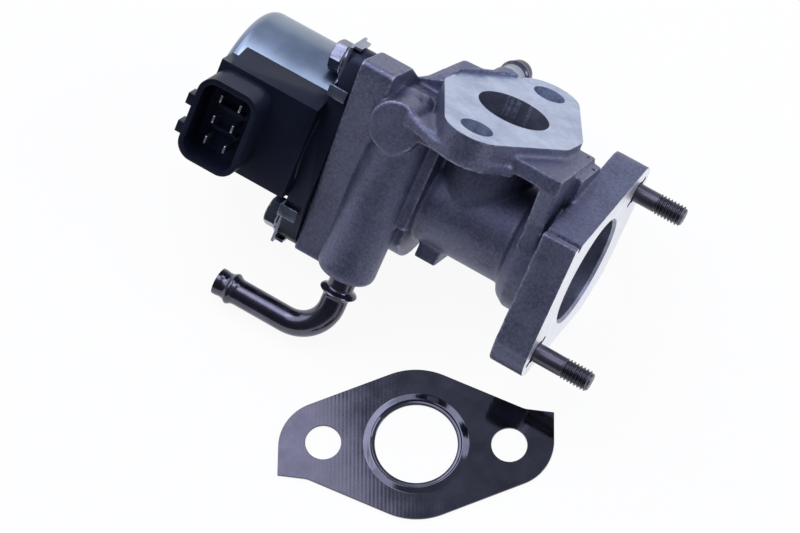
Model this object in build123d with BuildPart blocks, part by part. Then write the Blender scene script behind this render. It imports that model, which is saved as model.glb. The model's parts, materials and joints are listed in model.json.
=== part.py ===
"""Stepper-driven exhaust gas recirculation valve with a coolant jacket, and its loose inlet gasket.

Frame, millimetres: the origin is the centre of the outlet flange face, +X runs along the stem axis
out of the outlet, +Y runs along the line of the two outlet studs and +Z is up from the bench that
the valve lies on. The inlet flange and the motor are each clocked about the stem axis.
"""
import os
from math import cos, radians, sin, tan

from build123d import *

os.makedirs("parts", exist_ok=True)

# ---------------------------------------------------------------- clearances shared by every fit
running_gap = 0.03            # radial gap of a turning or sliding fit
press_gap = 0.01              # radial gap left where a piece is pressed or screwed home
face_gap = 0.05               # gap between two flat faces that bear on each other
loose_gap = 0.30              # gap between two pieces that never bear on each other

# ---------------------------------------------------------------- directions
inlet_clock = 42.6            # angle of the inlet flange's normal from +Y, about the stem axis
motor_clock = 46.0            # angle of the motor's upright from +Y, about the stem axis
inlet_twist = 4.5             # turn of the inlet bolt line in the plane of the inlet face
bench_level = -25.3           # height of the surface that the valve rests on

# ---------------------------------------------------------------- outlet flange and barrel
outlet_flange_thick = 10.0
stud_pitch = 54.0
outlet_ear_radius = 7.4
outlet_bore_radius = 15.2
outlet_chamfer = 0.8
outlet_bore_depth = 13.0
flange_ridge_y = -5.4         # where the long upper facet of the flange ends
flange_ridge_z = 27.8
shelf_n = 14.6                # height of the small shelf beside the ridge
shelf_t_in = -23.8
shelf_t_out = -28.2
facet_t = -26.1
flange_toe_y = 11.8           # ends of the flat edge that the flange stands on
flange_heel_y = -0.7
flare_radius = 19.0           # collar behind the flange
flare_end_x = -15.5
flare_small_radius = 17.2
flare_small_x = -18.3
barrel_radius = 14.5
barrel_end_x = -50.0

# ---------------------------------------------------------------- studs, M6
stud_major_radius = 2.95
stud_shank_radius = 2.68
stud_thread_length = 8.6
stud_root_length = 0.5        # swelling where the thread of the buried end runs out
stud_recess_gap = 0.35        # shallow recess in the flange around each stud
stud_recess_depth = 0.6
stud_proud_upper = 14.7
stud_proud_lower = 16.9
stud_depth = 8.4
stud_chamfer = 0.6

# ---------------------------------------------------------------- seat, poppet and gas passage
seat_front_x = -14.6
seat_back_x = -20.0
seat_outer_radius = 12.4
seat_bore_radius = 9.0
seat_cone_depth = 2.0         # the seat is a 45 degree cone
chamber_radius = 10.8
chamber_end_x = -49.0
poppet_radius = 10.8
poppet_rim_thick = 1.6
poppet_hub_radius = 4.6
poppet_hub_length = 3.4
valve_lift = 5.0

# ---------------------------------------------------------------- inlet flange
inlet_height = 30.15          # inlet face above the stem axis, along the inlet normal
inlet_x = -36.3
inlet_port_radius = 10.25
inlet_pitch = 50.0
inlet_hole_radius = 4.6
inlet_flange_thick = 7.2
inlet_end_radius = 9.0
inlet_half_width = 19.7
inlet_side_slope = 26.0
inlet_corner_radius = 4.0
inlet_duct_radius = 13.8

# ---------------------------------------------------------------- body between flanges and motor
guide_wall_end_x = -62.8
neck_radius = 20.7
neck_start_x = -46.2
neck_flat = 15.2              # flat on the side that carries the coolant boss
neck_block_top_n = 23.4
neck_block_t_out = -15.4
neck_block_t_in = 15.0
plate_front_x = -64.0
plate_back_x = -73.8
pocket_radius = 13.2
web_front_x = -40.0
web_back_x = -57.0
web_low_n = 18.3
web_t_out = -24.4
web_t_in = -10.0
bracket_start_x = -28.0
bracket_end_x = -12.0
bracket_t_out = -22.6
bracket_t_in = 6.5
bracket_top_n = 27.2          # shelf that ties the inlet flange to the rib behind the outlet flange
bracket_low_n = 22.9
rib_start_x = -17.0
rib_knee_n = 12.0             # the rib narrows from the shelf to here and runs on to its foot
rib_knee_t = -19.2
rib_foot_n = 4.0
rib_foot_t_out = -18.5
rib_foot_t_in = 12.0
lug_start_x = -36.7
lug_end_x = -43.2
lug_low_n = -17.2
lug_half_t = 8.0
fin_start_x = -45.9
fin_end_x = -47.7
fin_t_out = -18.2
fin_low_n = -8.4
hump_back_x = -66.4
hump_back_n = 24.0
hump_peak_x = -49.5
hump_front_x = -46.6
hump_top_n = 31.0
hump_t_out = 2.0
hump_t_in = 19.5
hump_low_n = 12.0

# ---------------------------------------------------------------- coolant boss, elbow and nipple
boss_x = -56.8
boss_t = -16.3
boss_radius = 8.2
boss_end_n = -28.4
boss_top_n = 20.0
boss_fillet = 2.6
pad_x = -58.6
pad_n = 18.9
pad_radius = 7.3
pad_face_t = -24.9
coolant_bore_radius = 3.4
pipe_x = -56.2                # the pipe enters the boss a little off its middle
coolant_top_n = 18.0
cross_bore_end_t = 12.0
cross_bore_radius = 3.0
cross_bore_n = 13.6
pipe_radius = 3.7
pipe_wall = 0.7
pipe_socket_depth = 9.0
pipe_socket_radius = pipe_radius + press_gap
elbow_stop_n = -33.4          # rolled collar that stops against the boss
collar_radius = 5.3
collar_half_width = 1.15
bend_radius = 10.5
elbow_end_x = -88.4
bead_radius = 4.55
bead_half_width = 1.5
bead_setback = 4.8            # from the pipe's open end to the middle of the bead
nipple_x = -47.2
nipple_n = 27.0
nipple_boss_radius = 4.5
nipple_boss_end_t = 25.5
nipple_end_t = 38.0
nipple_root_t = 16.0

# ---------------------------------------------------------------- motor flange, bolts and clips
bolt_n = 24.9                 # the two bolts beside the connector
bolt_t = -9.6
motor_flange_thick = 5.6
ear_radius = 5.2
plate_ear_radius = 6.3
plate_side_upper_t = -21.6    # side of the plate level with the upper bolt
plate_side_lower_t = -14.2    # and level with the lower bolt
flange_side_t = -18.4         # side of the motor flange under the connector
plate_corner_n = 31.2
plate_corner_t = -20.9
plate_corner_radius = 1.3
plate_disc_radius = 23.0
flange_disc_radius = 22.4
clip_thick = 0.8
clip_inner_long = 7.6         # from the bolt's axis towards the stem
clip_outer_long = 5.25        # from the bolt's axis outwards
clip_half_wide = 5.2
clip_lip = 2.0                # length of the lip folded over the ear's end
clip_lip_half = 3.2
clip_tab_wide = 3.4
clip_tab_reach = 4.6
bolt_radius = 2.5
bolt_hole_radius = 2.75
bolt_flange_radius = 4.9
bolt_flange_thick = 1.1
bolt_across_flats = 8.0
bolt_head_height = 3.7
bolt_head_chamfer = 0.5
bolt_reach = 8.0              # length of thread inside the housing
seal_inner_radius = 14.3
seal_outer_radius = 16.3
seal_depth = 1.7
flange_recess_depth = 4.1
flange_hole_radius = 4.4
spigot_radius = 10.8          # ring on the flange that presses the bearing into its cup
spigot_inner_radius = 9.7
spigot_length = 3.0

# ---------------------------------------------------------------- motor can and connector body
can_radius = 21.5
can_wall = 1.0
can_length = 31.6
can_corner = 3.6
can_window_half = 8.0         # opening in the can that the terminals pass through
box_face_t = 23.3             # connector side of the moulded body, from the stem axis
box_half_n = 13.8
box_length = 29.8
box_ledge_n = 16.2            # foot of the sloping ledge beside the can
box_ledge_t = 15.0
box_ledge_length = 27.2
shroud_setback = 21.0         # from the flange's back face to the middle of the connector
shroud_half_x = 9.0
shroud_half_n = 12.4
shroud_corner = 5.0
shroud_wall = 1.6
shroud_mouth_t = 33.4
shroud_floor_t = 24.2
rib_rise = 2.4
rib_thick = 0.9
rib_long = 7.2
tab_reach = 1.8
tab_wide = 3.2
tab_depth = 4.0
tab_upper_n = 3.6
tab_lower_n = -5.0
pin_pitch_x = 5.9
pin_pitch_n = 6.4
pin_tip_t = 30.0
pin_root_t = 20.9
pin_wide = 2.2
pin_thick = 0.64

# ---------------------------------------------------------------- stator and rotor
front_plate_thick = 1.6
bearing_cup_wall = 1.2
bearing_cup_lip = 0.8
bearing_cup_hole_radius = 9.4
bearing_setback = 3.6         # from the flange's back face to the bearing
bearing_width = 5.0
bearing_bore_radius = 6.0
bearing_outer_radius = 11.0
inner_ring_radius = 7.5
outer_ring_radius = 9.5
ball_radius = 1.5
ball_count = 8
groove_radius = 1.53
cage_thick = 4.2
cage_inner_radius = 8.1
cage_outer_radius = 8.9
preload_thick = 0.5
stator_setback = 4.2          # from the flange's back face to the first yoke
phase_length = 11.8
yoke_thick = 1.2
yoke_bore_radius = 13.7
tooth_count = 6
tooth_half_angle = 10.0
tooth_thick = 0.9
tooth_length = 6.6
bobbin_inner_radius = 14.8
bobbin_wall = 0.8
bobbin_outer_radius = 20.2
coil_outer_radius = 19.6
magnet_radius = 13.3
magnet_length = 16.6
sleeve_radius = 8.0
sleeve_bore_radius = 4.5
sleeve_collar_gap = 10.0      # from the flange's back face to the sleeve's wide part
rear_journal_radius = 5.0
rear_journal_length = 3.2
rear_bush_radius = 7.4
rear_bush_length = 3.3
rear_ring_radius = 8.6
rear_ring_length = 3.0
nut_length = 14.4

# ---------------------------------------------------------------- screw, stem and spring
screw_radius = 2.5
screw_length = 29.9
screw_flat = 1.9              # half distance across the two flats that stop it turning
screw_flat_length = 11.3
guide_length = 4.6
stem_radius = 3.0
bush_outer_radius = 5.6
bush_front_x = -50.6
shield_outer_radius = 8.4
shield_thick = 1.0
retainer_radius = 10.4
retainer_thick = 1.5
retainer_hub_radius = 5.0
retainer_hub_length = 1.8
circlip_thick = 0.8
circlip_radius = 4.6
circlip_groove_radius = 2.4
stem_end_lip = 0.9            # stem beyond the retaining ring
stem_reach = 3.8              # how far the stem stands out of the housing
spring_washer_thick = 0.8
spring_washer_radius = 11.6
spring_mean_radius = 8.2
wire_radius = 0.7
spring_turns = 3.5

# ---------------------------------------------------------------- gasket
gasket_x = -18.2
gasket_y = -57.9
gasket_turn = 30.35
gasket_thick = 0.8
gasket_pitch = 50.2
gasket_port_radius = 11.2
gasket_hole_radius = 4.85
gasket_bead_radius = 14.3
gasket_bead_width = 1.9
gasket_bead_rise = 0.35
gasket_half_long = 37.2
gasket_half_high = 22.9
gasket_side_low = 7.5
gasket_corner_n = 9.5
gasket_step_long = 29.3
gasket_step_high = 10.4
gasket_ridge_radius = 19.0
gasket_end_radius = 13.0
gasket_step_radius = 6.0

# ================================================================ frames derived from the values
flange_back_x = plate_back_x - motor_flange_thick
bolt_far_t = (-bench_level - plate_ear_radius) / cos(radians(motor_clock))
elbow_low_n = (bench_level + bead_radius + boss_t * cos(radians(inlet_clock))) / sin(radians(inlet_clock))
can_end_x = flange_back_x - can_length
bearing_front_x = flange_back_x - bearing_setback
bearing_back_x = bearing_front_x - bearing_width
stator_front_x = flange_back_x - stator_setback
sleeve_front_x = flange_back_x - sleeve_collar_gap
sleeve_back_x = sleeve_front_x - magnet_length
stem_end_x = plate_back_x - stem_reach
retainer_back_x = stem_end_x + stem_end_lip + circlip_thick
retainer_front_x = retainer_back_x + retainer_thick
shroud_x = flange_back_x - shroud_setback
ball_circle_radius = (bearing_bore_radius + bearing_outer_radius) / 2
inlet_normal = (0, cos(radians(inlet_clock)), sin(radians(inlet_clock)))
inlet_across = (0, sin(radians(inlet_clock)), -cos(radians(inlet_clock)))
motor_up = (0, cos(radians(motor_clock)), sin(radians(motor_clock)))
motor_across = (0, sin(radians(motor_clock)), -cos(radians(motor_clock)))
connector_way = (0, -motor_across[1], -motor_across[2])
boss_side = (0, -inlet_across[1], -inlet_across[2])
boss_down = (0, -inlet_normal[1], -inlet_normal[2])


def inlet_point(x, n, t):
    """Point from its place along the stem, along the inlet normal and across it."""
    y = n * inlet_normal[1] + t * inlet_across[1]
    z = n * inlet_normal[2] + t * inlet_across[2]
    return (x, y, z)


def inlet_plane(x, n, t):
    """Plane facing along the inlet normal: local x is the stem, local y runs across."""
    return Plane(origin=inlet_point(x, n, t), x_dir=(1, 0, 0), z_dir=inlet_normal)


def side_plane(x, n, t):
    """Plane facing out of the side that carries the coolant boss."""
    return Plane(origin=inlet_point(x, n, t), x_dir=(1, 0, 0), z_dir=boss_side)


def stem_plane(x):
    """Plane square to the stem with local x along +Y and local y along +Z."""
    return Plane(origin=(x, 0, 0), x_dir=(0, 1, 0), z_dir=(1, 0, 0))


def inlet_section(x):
    """Plane square to the stem with local x along the inlet normal; local y is minus t."""
    return Plane(origin=(x, 0, 0), x_dir=inlet_normal, z_dir=(1, 0, 0))


def motor_section(x):
    """Plane square to the stem with local x along the motor's upright; local y is minus t."""
    return Plane(origin=(x, 0, 0), x_dir=motor_up, z_dir=(1, 0, 0))


def connector_plane(t):
    """Plane that the connector faces: local x is the stem, local y is the motor's upright."""
    middle = tuple(t * part_way for part_way in connector_way)
    return Plane(origin=middle, x_dir=(1, 0, 0), z_dir=connector_way)


def motor_point(x, n, t):
    """Point from its place along the stem, along the motor's upright and across it."""
    y = n * motor_up[1] + t * motor_across[1]
    z = n * motor_up[2] + t * motor_across[2]
    return (x, y, z)


# ================================================================ valve housing
# One aluminium die casting: outlet flange, gas barrel, inlet flange, spring pocket, motor plate
# and coolant boss. Each lump is built on its own and the passages are cut last.
ear_slope = 30.6
ear_lift_y = outlet_ear_radius * sin(radians(ear_slope))
ear_lift_z = outlet_ear_radius * cos(radians(ear_slope))
shelf_in = inlet_point(0, shelf_n, shelf_t_in)
shelf_out = inlet_point(0, shelf_n, shelf_t_out)
facet_low = inlet_point(0, -stud_pitch / 2 * inlet_normal[1], facet_t)
facet_high = inlet_point(0, stud_pitch / 2 * inlet_normal[1], -facet_t)
flange_outline = [
    (stud_pitch / 2 + ear_lift_y, ear_lift_z),
    (flange_ridge_y, flange_ridge_z),
    (shelf_in[1], shelf_in[2]),
    (shelf_out[1], shelf_out[2]),
    (facet_low[1], facet_low[2]),
    (-stud_pitch / 2, 0),
    (-stud_pitch / 2 - ear_lift_y, -ear_lift_z),
    (flange_heel_y, bench_level),
    (flange_toe_y, bench_level),
    (facet_high[1], facet_high[2]),
    (stud_pitch / 2, 0),
]

with BuildPart() as outlet_flange:
    with BuildSketch(stem_plane(-outlet_flange_thick)):
        with BuildLine():
            Polyline(flange_outline, close=True)
        make_face()
        with Locations((stud_pitch / 2, 0), (-stud_pitch / 2, 0)):
            Circle(outlet_ear_radius)
    extrude(amount=outlet_flange_thick)

with BuildPart() as flare_collar:
    with BuildSketch(Plane.XY) as collar_profile:
        with BuildLine():
            Polyline(
                (-outlet_flange_thick / 2, 0),
                (-outlet_flange_thick / 2, flare_radius),
                (flare_end_x, flare_radius),
                (flare_small_x, flare_small_radius),
                (flare_small_x - barrel_radius / 10, barrel_radius),
                (barrel_end_x, barrel_radius),
                (barrel_end_x, 0),
                close=True,
            )
        make_face()
    revolve(axis=Axis.X)

hull_apex_radius = 1.0
hull_slope = radians(inlet_side_slope)
hull_reach = inlet_pitch / 2 * sin(hull_slope) + inlet_end_radius
hull_apex = (hull_reach - hull_apex_radius) / cos(hull_slope)

with BuildPart() as inlet_flange:
    with BuildSketch(inlet_plane(inlet_x, inlet_height - inlet_flange_thick, 0)) as inlet_outline:
        with Locations(Rotation(0, 0, -inlet_twist)):
            with Locations((0, inlet_pitch / 2), (0, -inlet_pitch / 2)):
                Circle(inlet_end_radius)
            with Locations((hull_apex, 0), (-hull_apex, 0)):
                Circle(hull_apex_radius)
        make_hull()
        with Locations(Rotation(0, 0, -inlet_twist)):
            Rectangle(2 * inlet_half_width, 2 * inlet_pitch, mode=Mode.INTERSECT)
    extrude(amount=inlet_flange_thick)
    long_edges = inlet_flange.edges().filter_by(lambda edge: abs(edge.length - inlet_flange_thick) < face_gap)
    corner_edges = long_edges.filter_by(
        lambda edge: abs((edge @ 0.5).dot(Vector(*inlet_across))) < inlet_pitch / 4)
    fillet(corner_edges, inlet_corner_radius)

with BuildPart() as coolant_boss:
    boss_length = boss_top_n - boss_end_n
    with Locations(inlet_plane(boss_x, boss_end_n, boss_t).location):
        Cylinder(boss_radius, boss_length, align=(Align.CENTER, Align.CENTER, Align.MIN))
    boss_low = coolant_boss.edges().filter_by(
        lambda edge: (edge @ 0.5).dot(Vector(*inlet_normal)) < boss_end_n + face_gap)
    fillet(boss_low, boss_fillet)

with BuildPart() as boss_pad:
    with Locations(side_plane(pad_x, pad_n, boss_t).location):
        Cylinder(pad_radius, boss_t - pad_face_t, align=(Align.CENTER, Align.CENTER, Align.MIN))

with BuildPart() as neck:
    with BuildSketch(inlet_section(plate_front_x)) as neck_outline:
        Circle(neck_radius)
        with Locations((0, neck_flat)):
            Rectangle(2 * neck_radius, 2 * neck_radius, mode=Mode.SUBTRACT,
                      align=(Align.CENTER, Align.MIN))
    extrude(amount=neck_start_x - plate_front_x)

with BuildPart() as neck_block:
    block_middle_t = (neck_block_t_in + neck_block_t_out) / 2
    with Locations(inlet_plane(plate_front_x, 0, block_middle_t).location):
        Box(neck_start_x - plate_front_x, neck_block_t_in - neck_block_t_out, neck_block_top_n,
            align=(Align.MIN, Align.CENTER, Align.MIN))

with BuildPart() as boss_web:
    with Locations(inlet_plane(web_back_x, web_low_n, (web_t_in + web_t_out) / 2).location):
        Box(web_front_x - web_back_x, web_t_in - web_t_out, neck_block_top_n - web_low_n,
            align=(Align.MIN, Align.CENTER, Align.MIN))

with BuildPart() as bracket:
    bracket_middle_t = (bracket_t_in + bracket_t_out) / 2
    with Locations(inlet_plane(bracket_start_x, bracket_low_n, bracket_middle_t).location):
        Box(bracket_end_x - bracket_start_x, bracket_t_in - bracket_t_out, bracket_top_n - bracket_low_n,
            align=(Align.MIN, Align.CENTER, Align.MIN))
    with BuildSketch(inlet_section(rib_start_x)):
        with BuildLine():
            Polyline(
                (bracket_top_n, -bracket_t_out),
                (bracket_low_n, -bracket_t_out),
                (rib_knee_n, -rib_knee_t),
                (rib_foot_n, -rib_foot_t_out),
                (rib_foot_n, -rib_foot_t_in),
                (bracket_top_n, -bracket_t_in),
                close=True,
            )
        make_face()
    extrude(amount=bracket_end_x - rib_start_x)

with BuildPart() as foot_lug:
    with Locations(inlet_plane(lug_end_x, lug_low_n, 0).location):
        Box(lug_start_x - lug_end_x, 2 * lug_half_t, -lug_low_n,
            align=(Align.MIN, Align.CENTER, Align.MIN))

with BuildPart() as fin:
    fin_middle_t = (fin_t_out - neck_flat / 2) / 2
    with Locations(inlet_plane(fin_end_x, fin_low_n, fin_middle_t).location):
        Box(fin_start_x - fin_end_x, -neck_flat / 2 - fin_t_out, web_low_n - fin_low_n,
            align=(Align.MIN, Align.CENTER, Align.MIN))

with BuildPart() as hump:
    with BuildSketch(side_plane(0, 0, hump_t_out)) as hump_outline:
        with BuildLine():
            Polyline(
                (hump_back_x, hump_low_n),
                (hump_back_x, hump_back_n),
                (hump_peak_x, hump_top_n),
                (hump_front_x, hump_top_n),
                (hump_front_x, hump_low_n),
                close=True,
            )
        make_face()
    extrude(amount=hump_t_out - hump_t_in)

with BuildPart() as nipple_boss:
    nipple_boss_long = nipple_boss_end_t - nipple_root_t
    with Locations(side_plane(nipple_x, nipple_n, nipple_boss_end_t).location):
        Cylinder(nipple_boss_radius, nipple_boss_long, align=(Align.CENTER, Align.CENTER, Align.MIN))

side_slope = (plate_side_lower_t - plate_side_upper_t) / (2 * bolt_n)
side_reach = 2 * bolt_n
side_middle_t = (plate_side_lower_t + plate_side_upper_t) / 2
with BuildPart() as motor_plate:
    with BuildSketch(motor_section(plate_back_x)) as plate_outline:
        Circle(plate_disc_radius)
        with Locations((bolt_n, -bolt_t), (-bolt_n, -bolt_t), (0, -bolt_far_t)):
            Circle(plate_ear_radius)
        with Locations((plate_corner_n, -plate_corner_t)):
            Circle(plate_corner_radius)
        make_hull()
        with BuildLine():
            Polyline(
                (-side_reach, -side_middle_t - side_reach * side_slope),
                (side_reach, -side_middle_t + side_reach * side_slope),
                (side_reach, side_reach),
                (-side_reach, side_reach),
                close=True,
            )
        make_face(mode=Mode.SUBTRACT)
    extrude(amount=plate_front_x - plate_back_x)

with BuildPart() as valve_housing:
    add(outlet_flange.part)
    add(flare_collar.part)
    add(inlet_flange.part)
    with Locations(inlet_plane(inlet_x, 0, 0).location):
        Cylinder(inlet_duct_radius, inlet_height - inlet_flange_thick / 2,
                 align=(Align.CENTER, Align.CENTER, Align.MIN))
    add(neck.part)
    add(neck_block.part)
    add(coolant_boss.part)
    add(boss_pad.part)
    add(boss_web.part)
    add(bracket.part)
    add(foot_lug.part)
    add(fin.part)
    add(hump.part)
    add(nipple_boss.part)
    add(motor_plate.part)
    # outlet bore with its machined chamfer
    with BuildSketch(Plane.XY) as gas_profile:
        with BuildLine():
            Polyline(
                (face_gap, 0),
                (face_gap, outlet_bore_radius + outlet_chamfer + face_gap),
                (-outlet_chamfer, outlet_bore_radius),
                (-outlet_bore_depth, outlet_bore_radius),
                (seat_front_x, seat_outer_radius + press_gap),
                (seat_back_x, seat_outer_radius + press_gap),
                (seat_back_x, chamber_radius),
                (chamber_end_x, chamber_radius),
                (chamber_end_x, shield_outer_radius + press_gap),
                (chamber_end_x - shield_thick, shield_outer_radius + press_gap),
                (chamber_end_x - shield_thick, stem_radius + loose_gap),
                (bush_front_x, stem_radius + loose_gap),
                (bush_front_x, bush_outer_radius + press_gap),
                (guide_wall_end_x, bush_outer_radius + press_gap),
                (guide_wall_end_x, pocket_radius),
                (plate_back_x - face_gap, pocket_radius),
                (plate_back_x - face_gap, 0),
                close=True,
            )
        make_face()
    revolve(axis=Axis.X, mode=Mode.SUBTRACT)
    # inlet port
    with Locations(inlet_plane(inlet_x, 0, 0).location):
        Cylinder(inlet_port_radius, inlet_height + face_gap, mode=Mode.SUBTRACT,
                 align=(Align.CENTER, Align.CENTER, Align.MIN))
    # inlet bolt holes
    with Locations(inlet_plane(inlet_x, inlet_height - 2 * inlet_flange_thick, 0).location):
        with Locations(Rotation(0, 0, -inlet_twist)):
            with Locations((0, inlet_pitch / 2), (0, -inlet_pitch / 2)):
                Cylinder(inlet_hole_radius, 3 * inlet_flange_thick, mode=Mode.SUBTRACT,
                         align=(Align.CENTER, Align.CENTER, Align.MIN))
    # stud holes
    with Locations(stem_plane(-stud_depth).location):
        with Locations((stud_pitch / 2, 0), (-stud_pitch / 2, 0)):
            Cylinder(stud_shank_radius + press_gap, stud_depth + face_gap, mode=Mode.SUBTRACT,
                     align=(Align.CENTER, Align.CENTER, Align.MIN))
    with Locations(stem_plane(-stud_recess_depth).location):
        with Locations((stud_pitch / 2, 0), (-stud_pitch / 2, 0)):
            Cylinder(stud_major_radius + stud_recess_gap, stud_recess_depth + face_gap, mode=Mode.SUBTRACT,
                     align=(Align.CENTER, Align.CENTER, Align.MIN))
    # motor bolt threads
    with Locations(motor_section(plate_back_x - face_gap).location):
        with Locations((bolt_n, -bolt_t), (-bolt_n, -bolt_t), (0, -bolt_far_t)):
            Cylinder(bolt_radius + press_gap, bolt_reach + 2 * face_gap, mode=Mode.SUBTRACT,
                     align=(Align.CENTER, Align.CENTER, Align.MIN))
    # groove for the motor seal
    with BuildSketch(stem_plane(plate_back_x)):
        Circle(seal_outer_radius + running_gap)
        Circle(seal_inner_radius - running_gap, mode=Mode.SUBTRACT)
    extrude(amount=seal_depth, mode=Mode.SUBTRACT)
    # coolant passage: up the boss, across behind the gas chamber and out to the nipple
    with Locations(inlet_plane(pipe_x, boss_end_n, boss_t).location):
        Cylinder(pipe_socket_radius, pipe_socket_depth, mode=Mode.SUBTRACT,
                 align=(Align.CENTER, Align.CENTER, Align.MIN))
        Cylinder(coolant_bore_radius, coolant_top_n - boss_end_n, mode=Mode.SUBTRACT,
                 align=(Align.CENTER, Align.CENTER, Align.MIN))
    with Locations(side_plane(boss_x, cross_bore_n, cross_bore_end_t).location):
        Cylinder(cross_bore_radius, cross_bore_end_t - boss_t, mode=Mode.SUBTRACT,
                 align=(Align.CENTER, Align.CENTER, Align.MIN))
    cross_start = Vector(*inlet_point(boss_x, cross_bore_n, cross_bore_end_t - cross_bore_radius))
    cross_end = Vector(*inlet_point(nipple_x, nipple_n, nipple_root_t))
    cross_way = cross_end - cross_start
    cross_plane = Plane(origin=cross_start, z_dir=cross_way)
    with Locations(cross_plane.location):
        Cylinder(pipe_radius - pipe_wall, cross_way.length, mode=Mode.SUBTRACT,
                 align=(Align.CENTER, Align.CENTER, Align.MIN))
    with Locations(side_plane(nipple_x, nipple_n, nipple_boss_end_t).location):
        Cylinder(pipe_socket_radius, nipple_boss_long, mode=Mode.SUBTRACT,
                 align=(Align.CENTER, Align.CENTER, Align.MIN))
    with Locations(side_plane(nipple_x, nipple_n, nipple_end_t).location):
        Cylinder(bead_radius + loose_gap, nipple_end_t - nipple_boss_end_t, mode=Mode.SUBTRACT,
                 align=(Align.CENTER, Align.CENTER, Align.MIN))
valve_housing.part.label = "valve_housing"

export_step(valve_housing.part, "parts/valve_housing.step")


# ================================================================ outlet studs
# Two steel studs screwed into the outlet flange. They stand out by different lengths.
with BuildPart() as outlet_studs:
    for stud_y, stud_proud in ((stud_pitch / 2, stud_proud_upper), (-stud_pitch / 2, stud_proud_lower)):
        with BuildSketch(Plane(origin=(0, stud_y, 0))) as stud_profile:
            with BuildLine():
                Polyline(
                    (-stud_depth, 0),
                    (-stud_depth, stud_shank_radius),
                    (0, stud_shank_radius),
                    (0, stud_major_radius),
                    (stud_root_length, stud_major_radius),
                    (stud_root_length, stud_shank_radius),
                    (stud_proud - stud_thread_length, stud_shank_radius),
                    (stud_proud - stud_thread_length, stud_major_radius),
                    (stud_proud - stud_chamfer, stud_major_radius),
                    (stud_proud, stud_major_radius - stud_chamfer),
                    (stud_proud, 0),
                    close=True,
                )
            make_face()
        revolve(axis=Axis((0, stud_y, 0), (1, 0, 0)))
outlet_studs.part.label = "outlet_studs"
export_step(outlet_studs.part, "parts/outlet_studs.step")


# ================================================================ valve seat ring
# Hard iron insert pressed into the casting; its 45 degree cone is what the poppet closes on.
with BuildPart() as valve_seat_ring:
    with BuildSketch(Plane.XY):
        with BuildLine():
            Polyline(
                (seat_back_x, seat_bore_radius),
                (seat_front_x - seat_cone_depth, seat_bore_radius),
                (seat_front_x, seat_bore_radius + seat_cone_depth),
                (seat_front_x, seat_outer_radius),
                (seat_back_x, seat_outer_radius),
                close=True,
            )
        make_face()
    revolve(axis=Axis.X)
valve_seat_ring.part.label = "valve_seat_ring"
export_step(valve_seat_ring.part, "parts/valve_seat_ring.step")


# ================================================================ stem guide bush and its shield
with BuildPart() as stem_bush:
    with BuildSketch(stem_plane(guide_wall_end_x)):
        Circle(bush_outer_radius)
        Circle(stem_radius + running_gap, mode=Mode.SUBTRACT)
    extrude(amount=bush_front_x - guide_wall_end_x)
stem_bush.part.label = "stem_bush"
export_step(stem_bush.part, "parts/stem_bush.step")

with BuildPart() as soot_shield:
    with BuildSketch(stem_plane(chamber_end_x - shield_thick)):
        Circle(shield_outer_radius)
        Circle(stem_radius + running_gap, mode=Mode.SUBTRACT)
    extrude(amount=shield_thick)
soot_shield.part.label = "soot_shield"
export_step(soot_shield.part, "parts/soot_shield.step")


# ================================================================ valve stem and poppet
cone_reach = poppet_radius - seat_bore_radius
poppet_back_x = seat_front_x - seat_cone_depth + face_gap
poppet_rim_x = poppet_back_x + cone_reach
with BuildPart() as poppet_head:
    with BuildSketch(Plane.XY):
        with BuildLine():
            Polyline(
                (poppet_back_x - poppet_hub_length, stem_radius + press_gap),
                (poppet_back_x - poppet_hub_length, poppet_hub_radius),
                (poppet_back_x, seat_bore_radius - face_gap),
                (poppet_rim_x, poppet_radius - face_gap),
                (poppet_rim_x + poppet_rim_thick, poppet_radius - face_gap),
                (poppet_rim_x + poppet_rim_thick, stem_radius + press_gap),
                close=True,
            )
        make_face()
    revolve(axis=Axis.X)
poppet_head.part.label = "poppet_head"
export_step(poppet_head.part, "parts/poppet_head.step")

with BuildPart() as valve_stem:
    with BuildSketch(Plane.XY):
        with BuildLine():
            Polyline(
                (poppet_rim_x + poppet_rim_thick + face_gap, 0),
                (poppet_rim_x + poppet_rim_thick + face_gap, stem_radius),
                (retainer_back_x, stem_radius),
                (retainer_back_x, circlip_groove_radius),
                (retainer_back_x - circlip_thick, circlip_groove_radius),
                (retainer_back_x - circlip_thick, stem_radius),
                (stem_end_x, stem_radius),
                (stem_end_x, 0),
                close=True,
            )
        make_face()
    revolve(axis=Axis.X)
valve_stem.part.label = "valve_stem"
export_step(valve_stem.part, "parts/valve_stem.step")


# ================================================================ spring, its washer and retainer
with BuildPart() as spring_seat_washer:
    with BuildSketch(stem_plane(guide_wall_end_x - spring_washer_thick)):
        Circle(spring_washer_radius)
        Circle(stem_radius + loose_gap, mode=Mode.SUBTRACT)
    extrude(amount=spring_washer_thick)
spring_seat_washer.part.label = "spring_seat_washer"
export_step(spring_seat_washer.part, "parts/spring_seat_washer.step")

with BuildPart() as spring_retainer:
    with BuildSketch(stem_plane(retainer_back_x)):
        Circle(retainer_radius)
        Circle(stem_radius + press_gap, mode=Mode.SUBTRACT)
    extrude(amount=retainer_thick)
    with BuildSketch(stem_plane(retainer_front_x)):
        Circle(retainer_hub_radius)
        Circle(stem_radius + press_gap, mode=Mode.SUBTRACT)
    extrude(amount=retainer_hub_length)
spring_retainer.part.label = "spring_retainer"
export_step(spring_retainer.part, "parts/spring_retainer.step")

with BuildPart() as retaining_ring:
    with BuildSketch(stem_plane(retainer_back_x - circlip_thick)):
        Circle(circlip_radius)
        Circle(circlip_groove_radius + press_gap, mode=Mode.SUBTRACT)
        with Locations((0, circlip_radius)):
            Rectangle(2 * circlip_groove_radius, 2 * circlip_radius, mode=Mode.SUBTRACT)
    extrude(amount=circlip_thick)
retaining_ring.part.label = "retaining_ring"
export_step(retaining_ring.part, "parts/retaining_ring.step")

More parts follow.
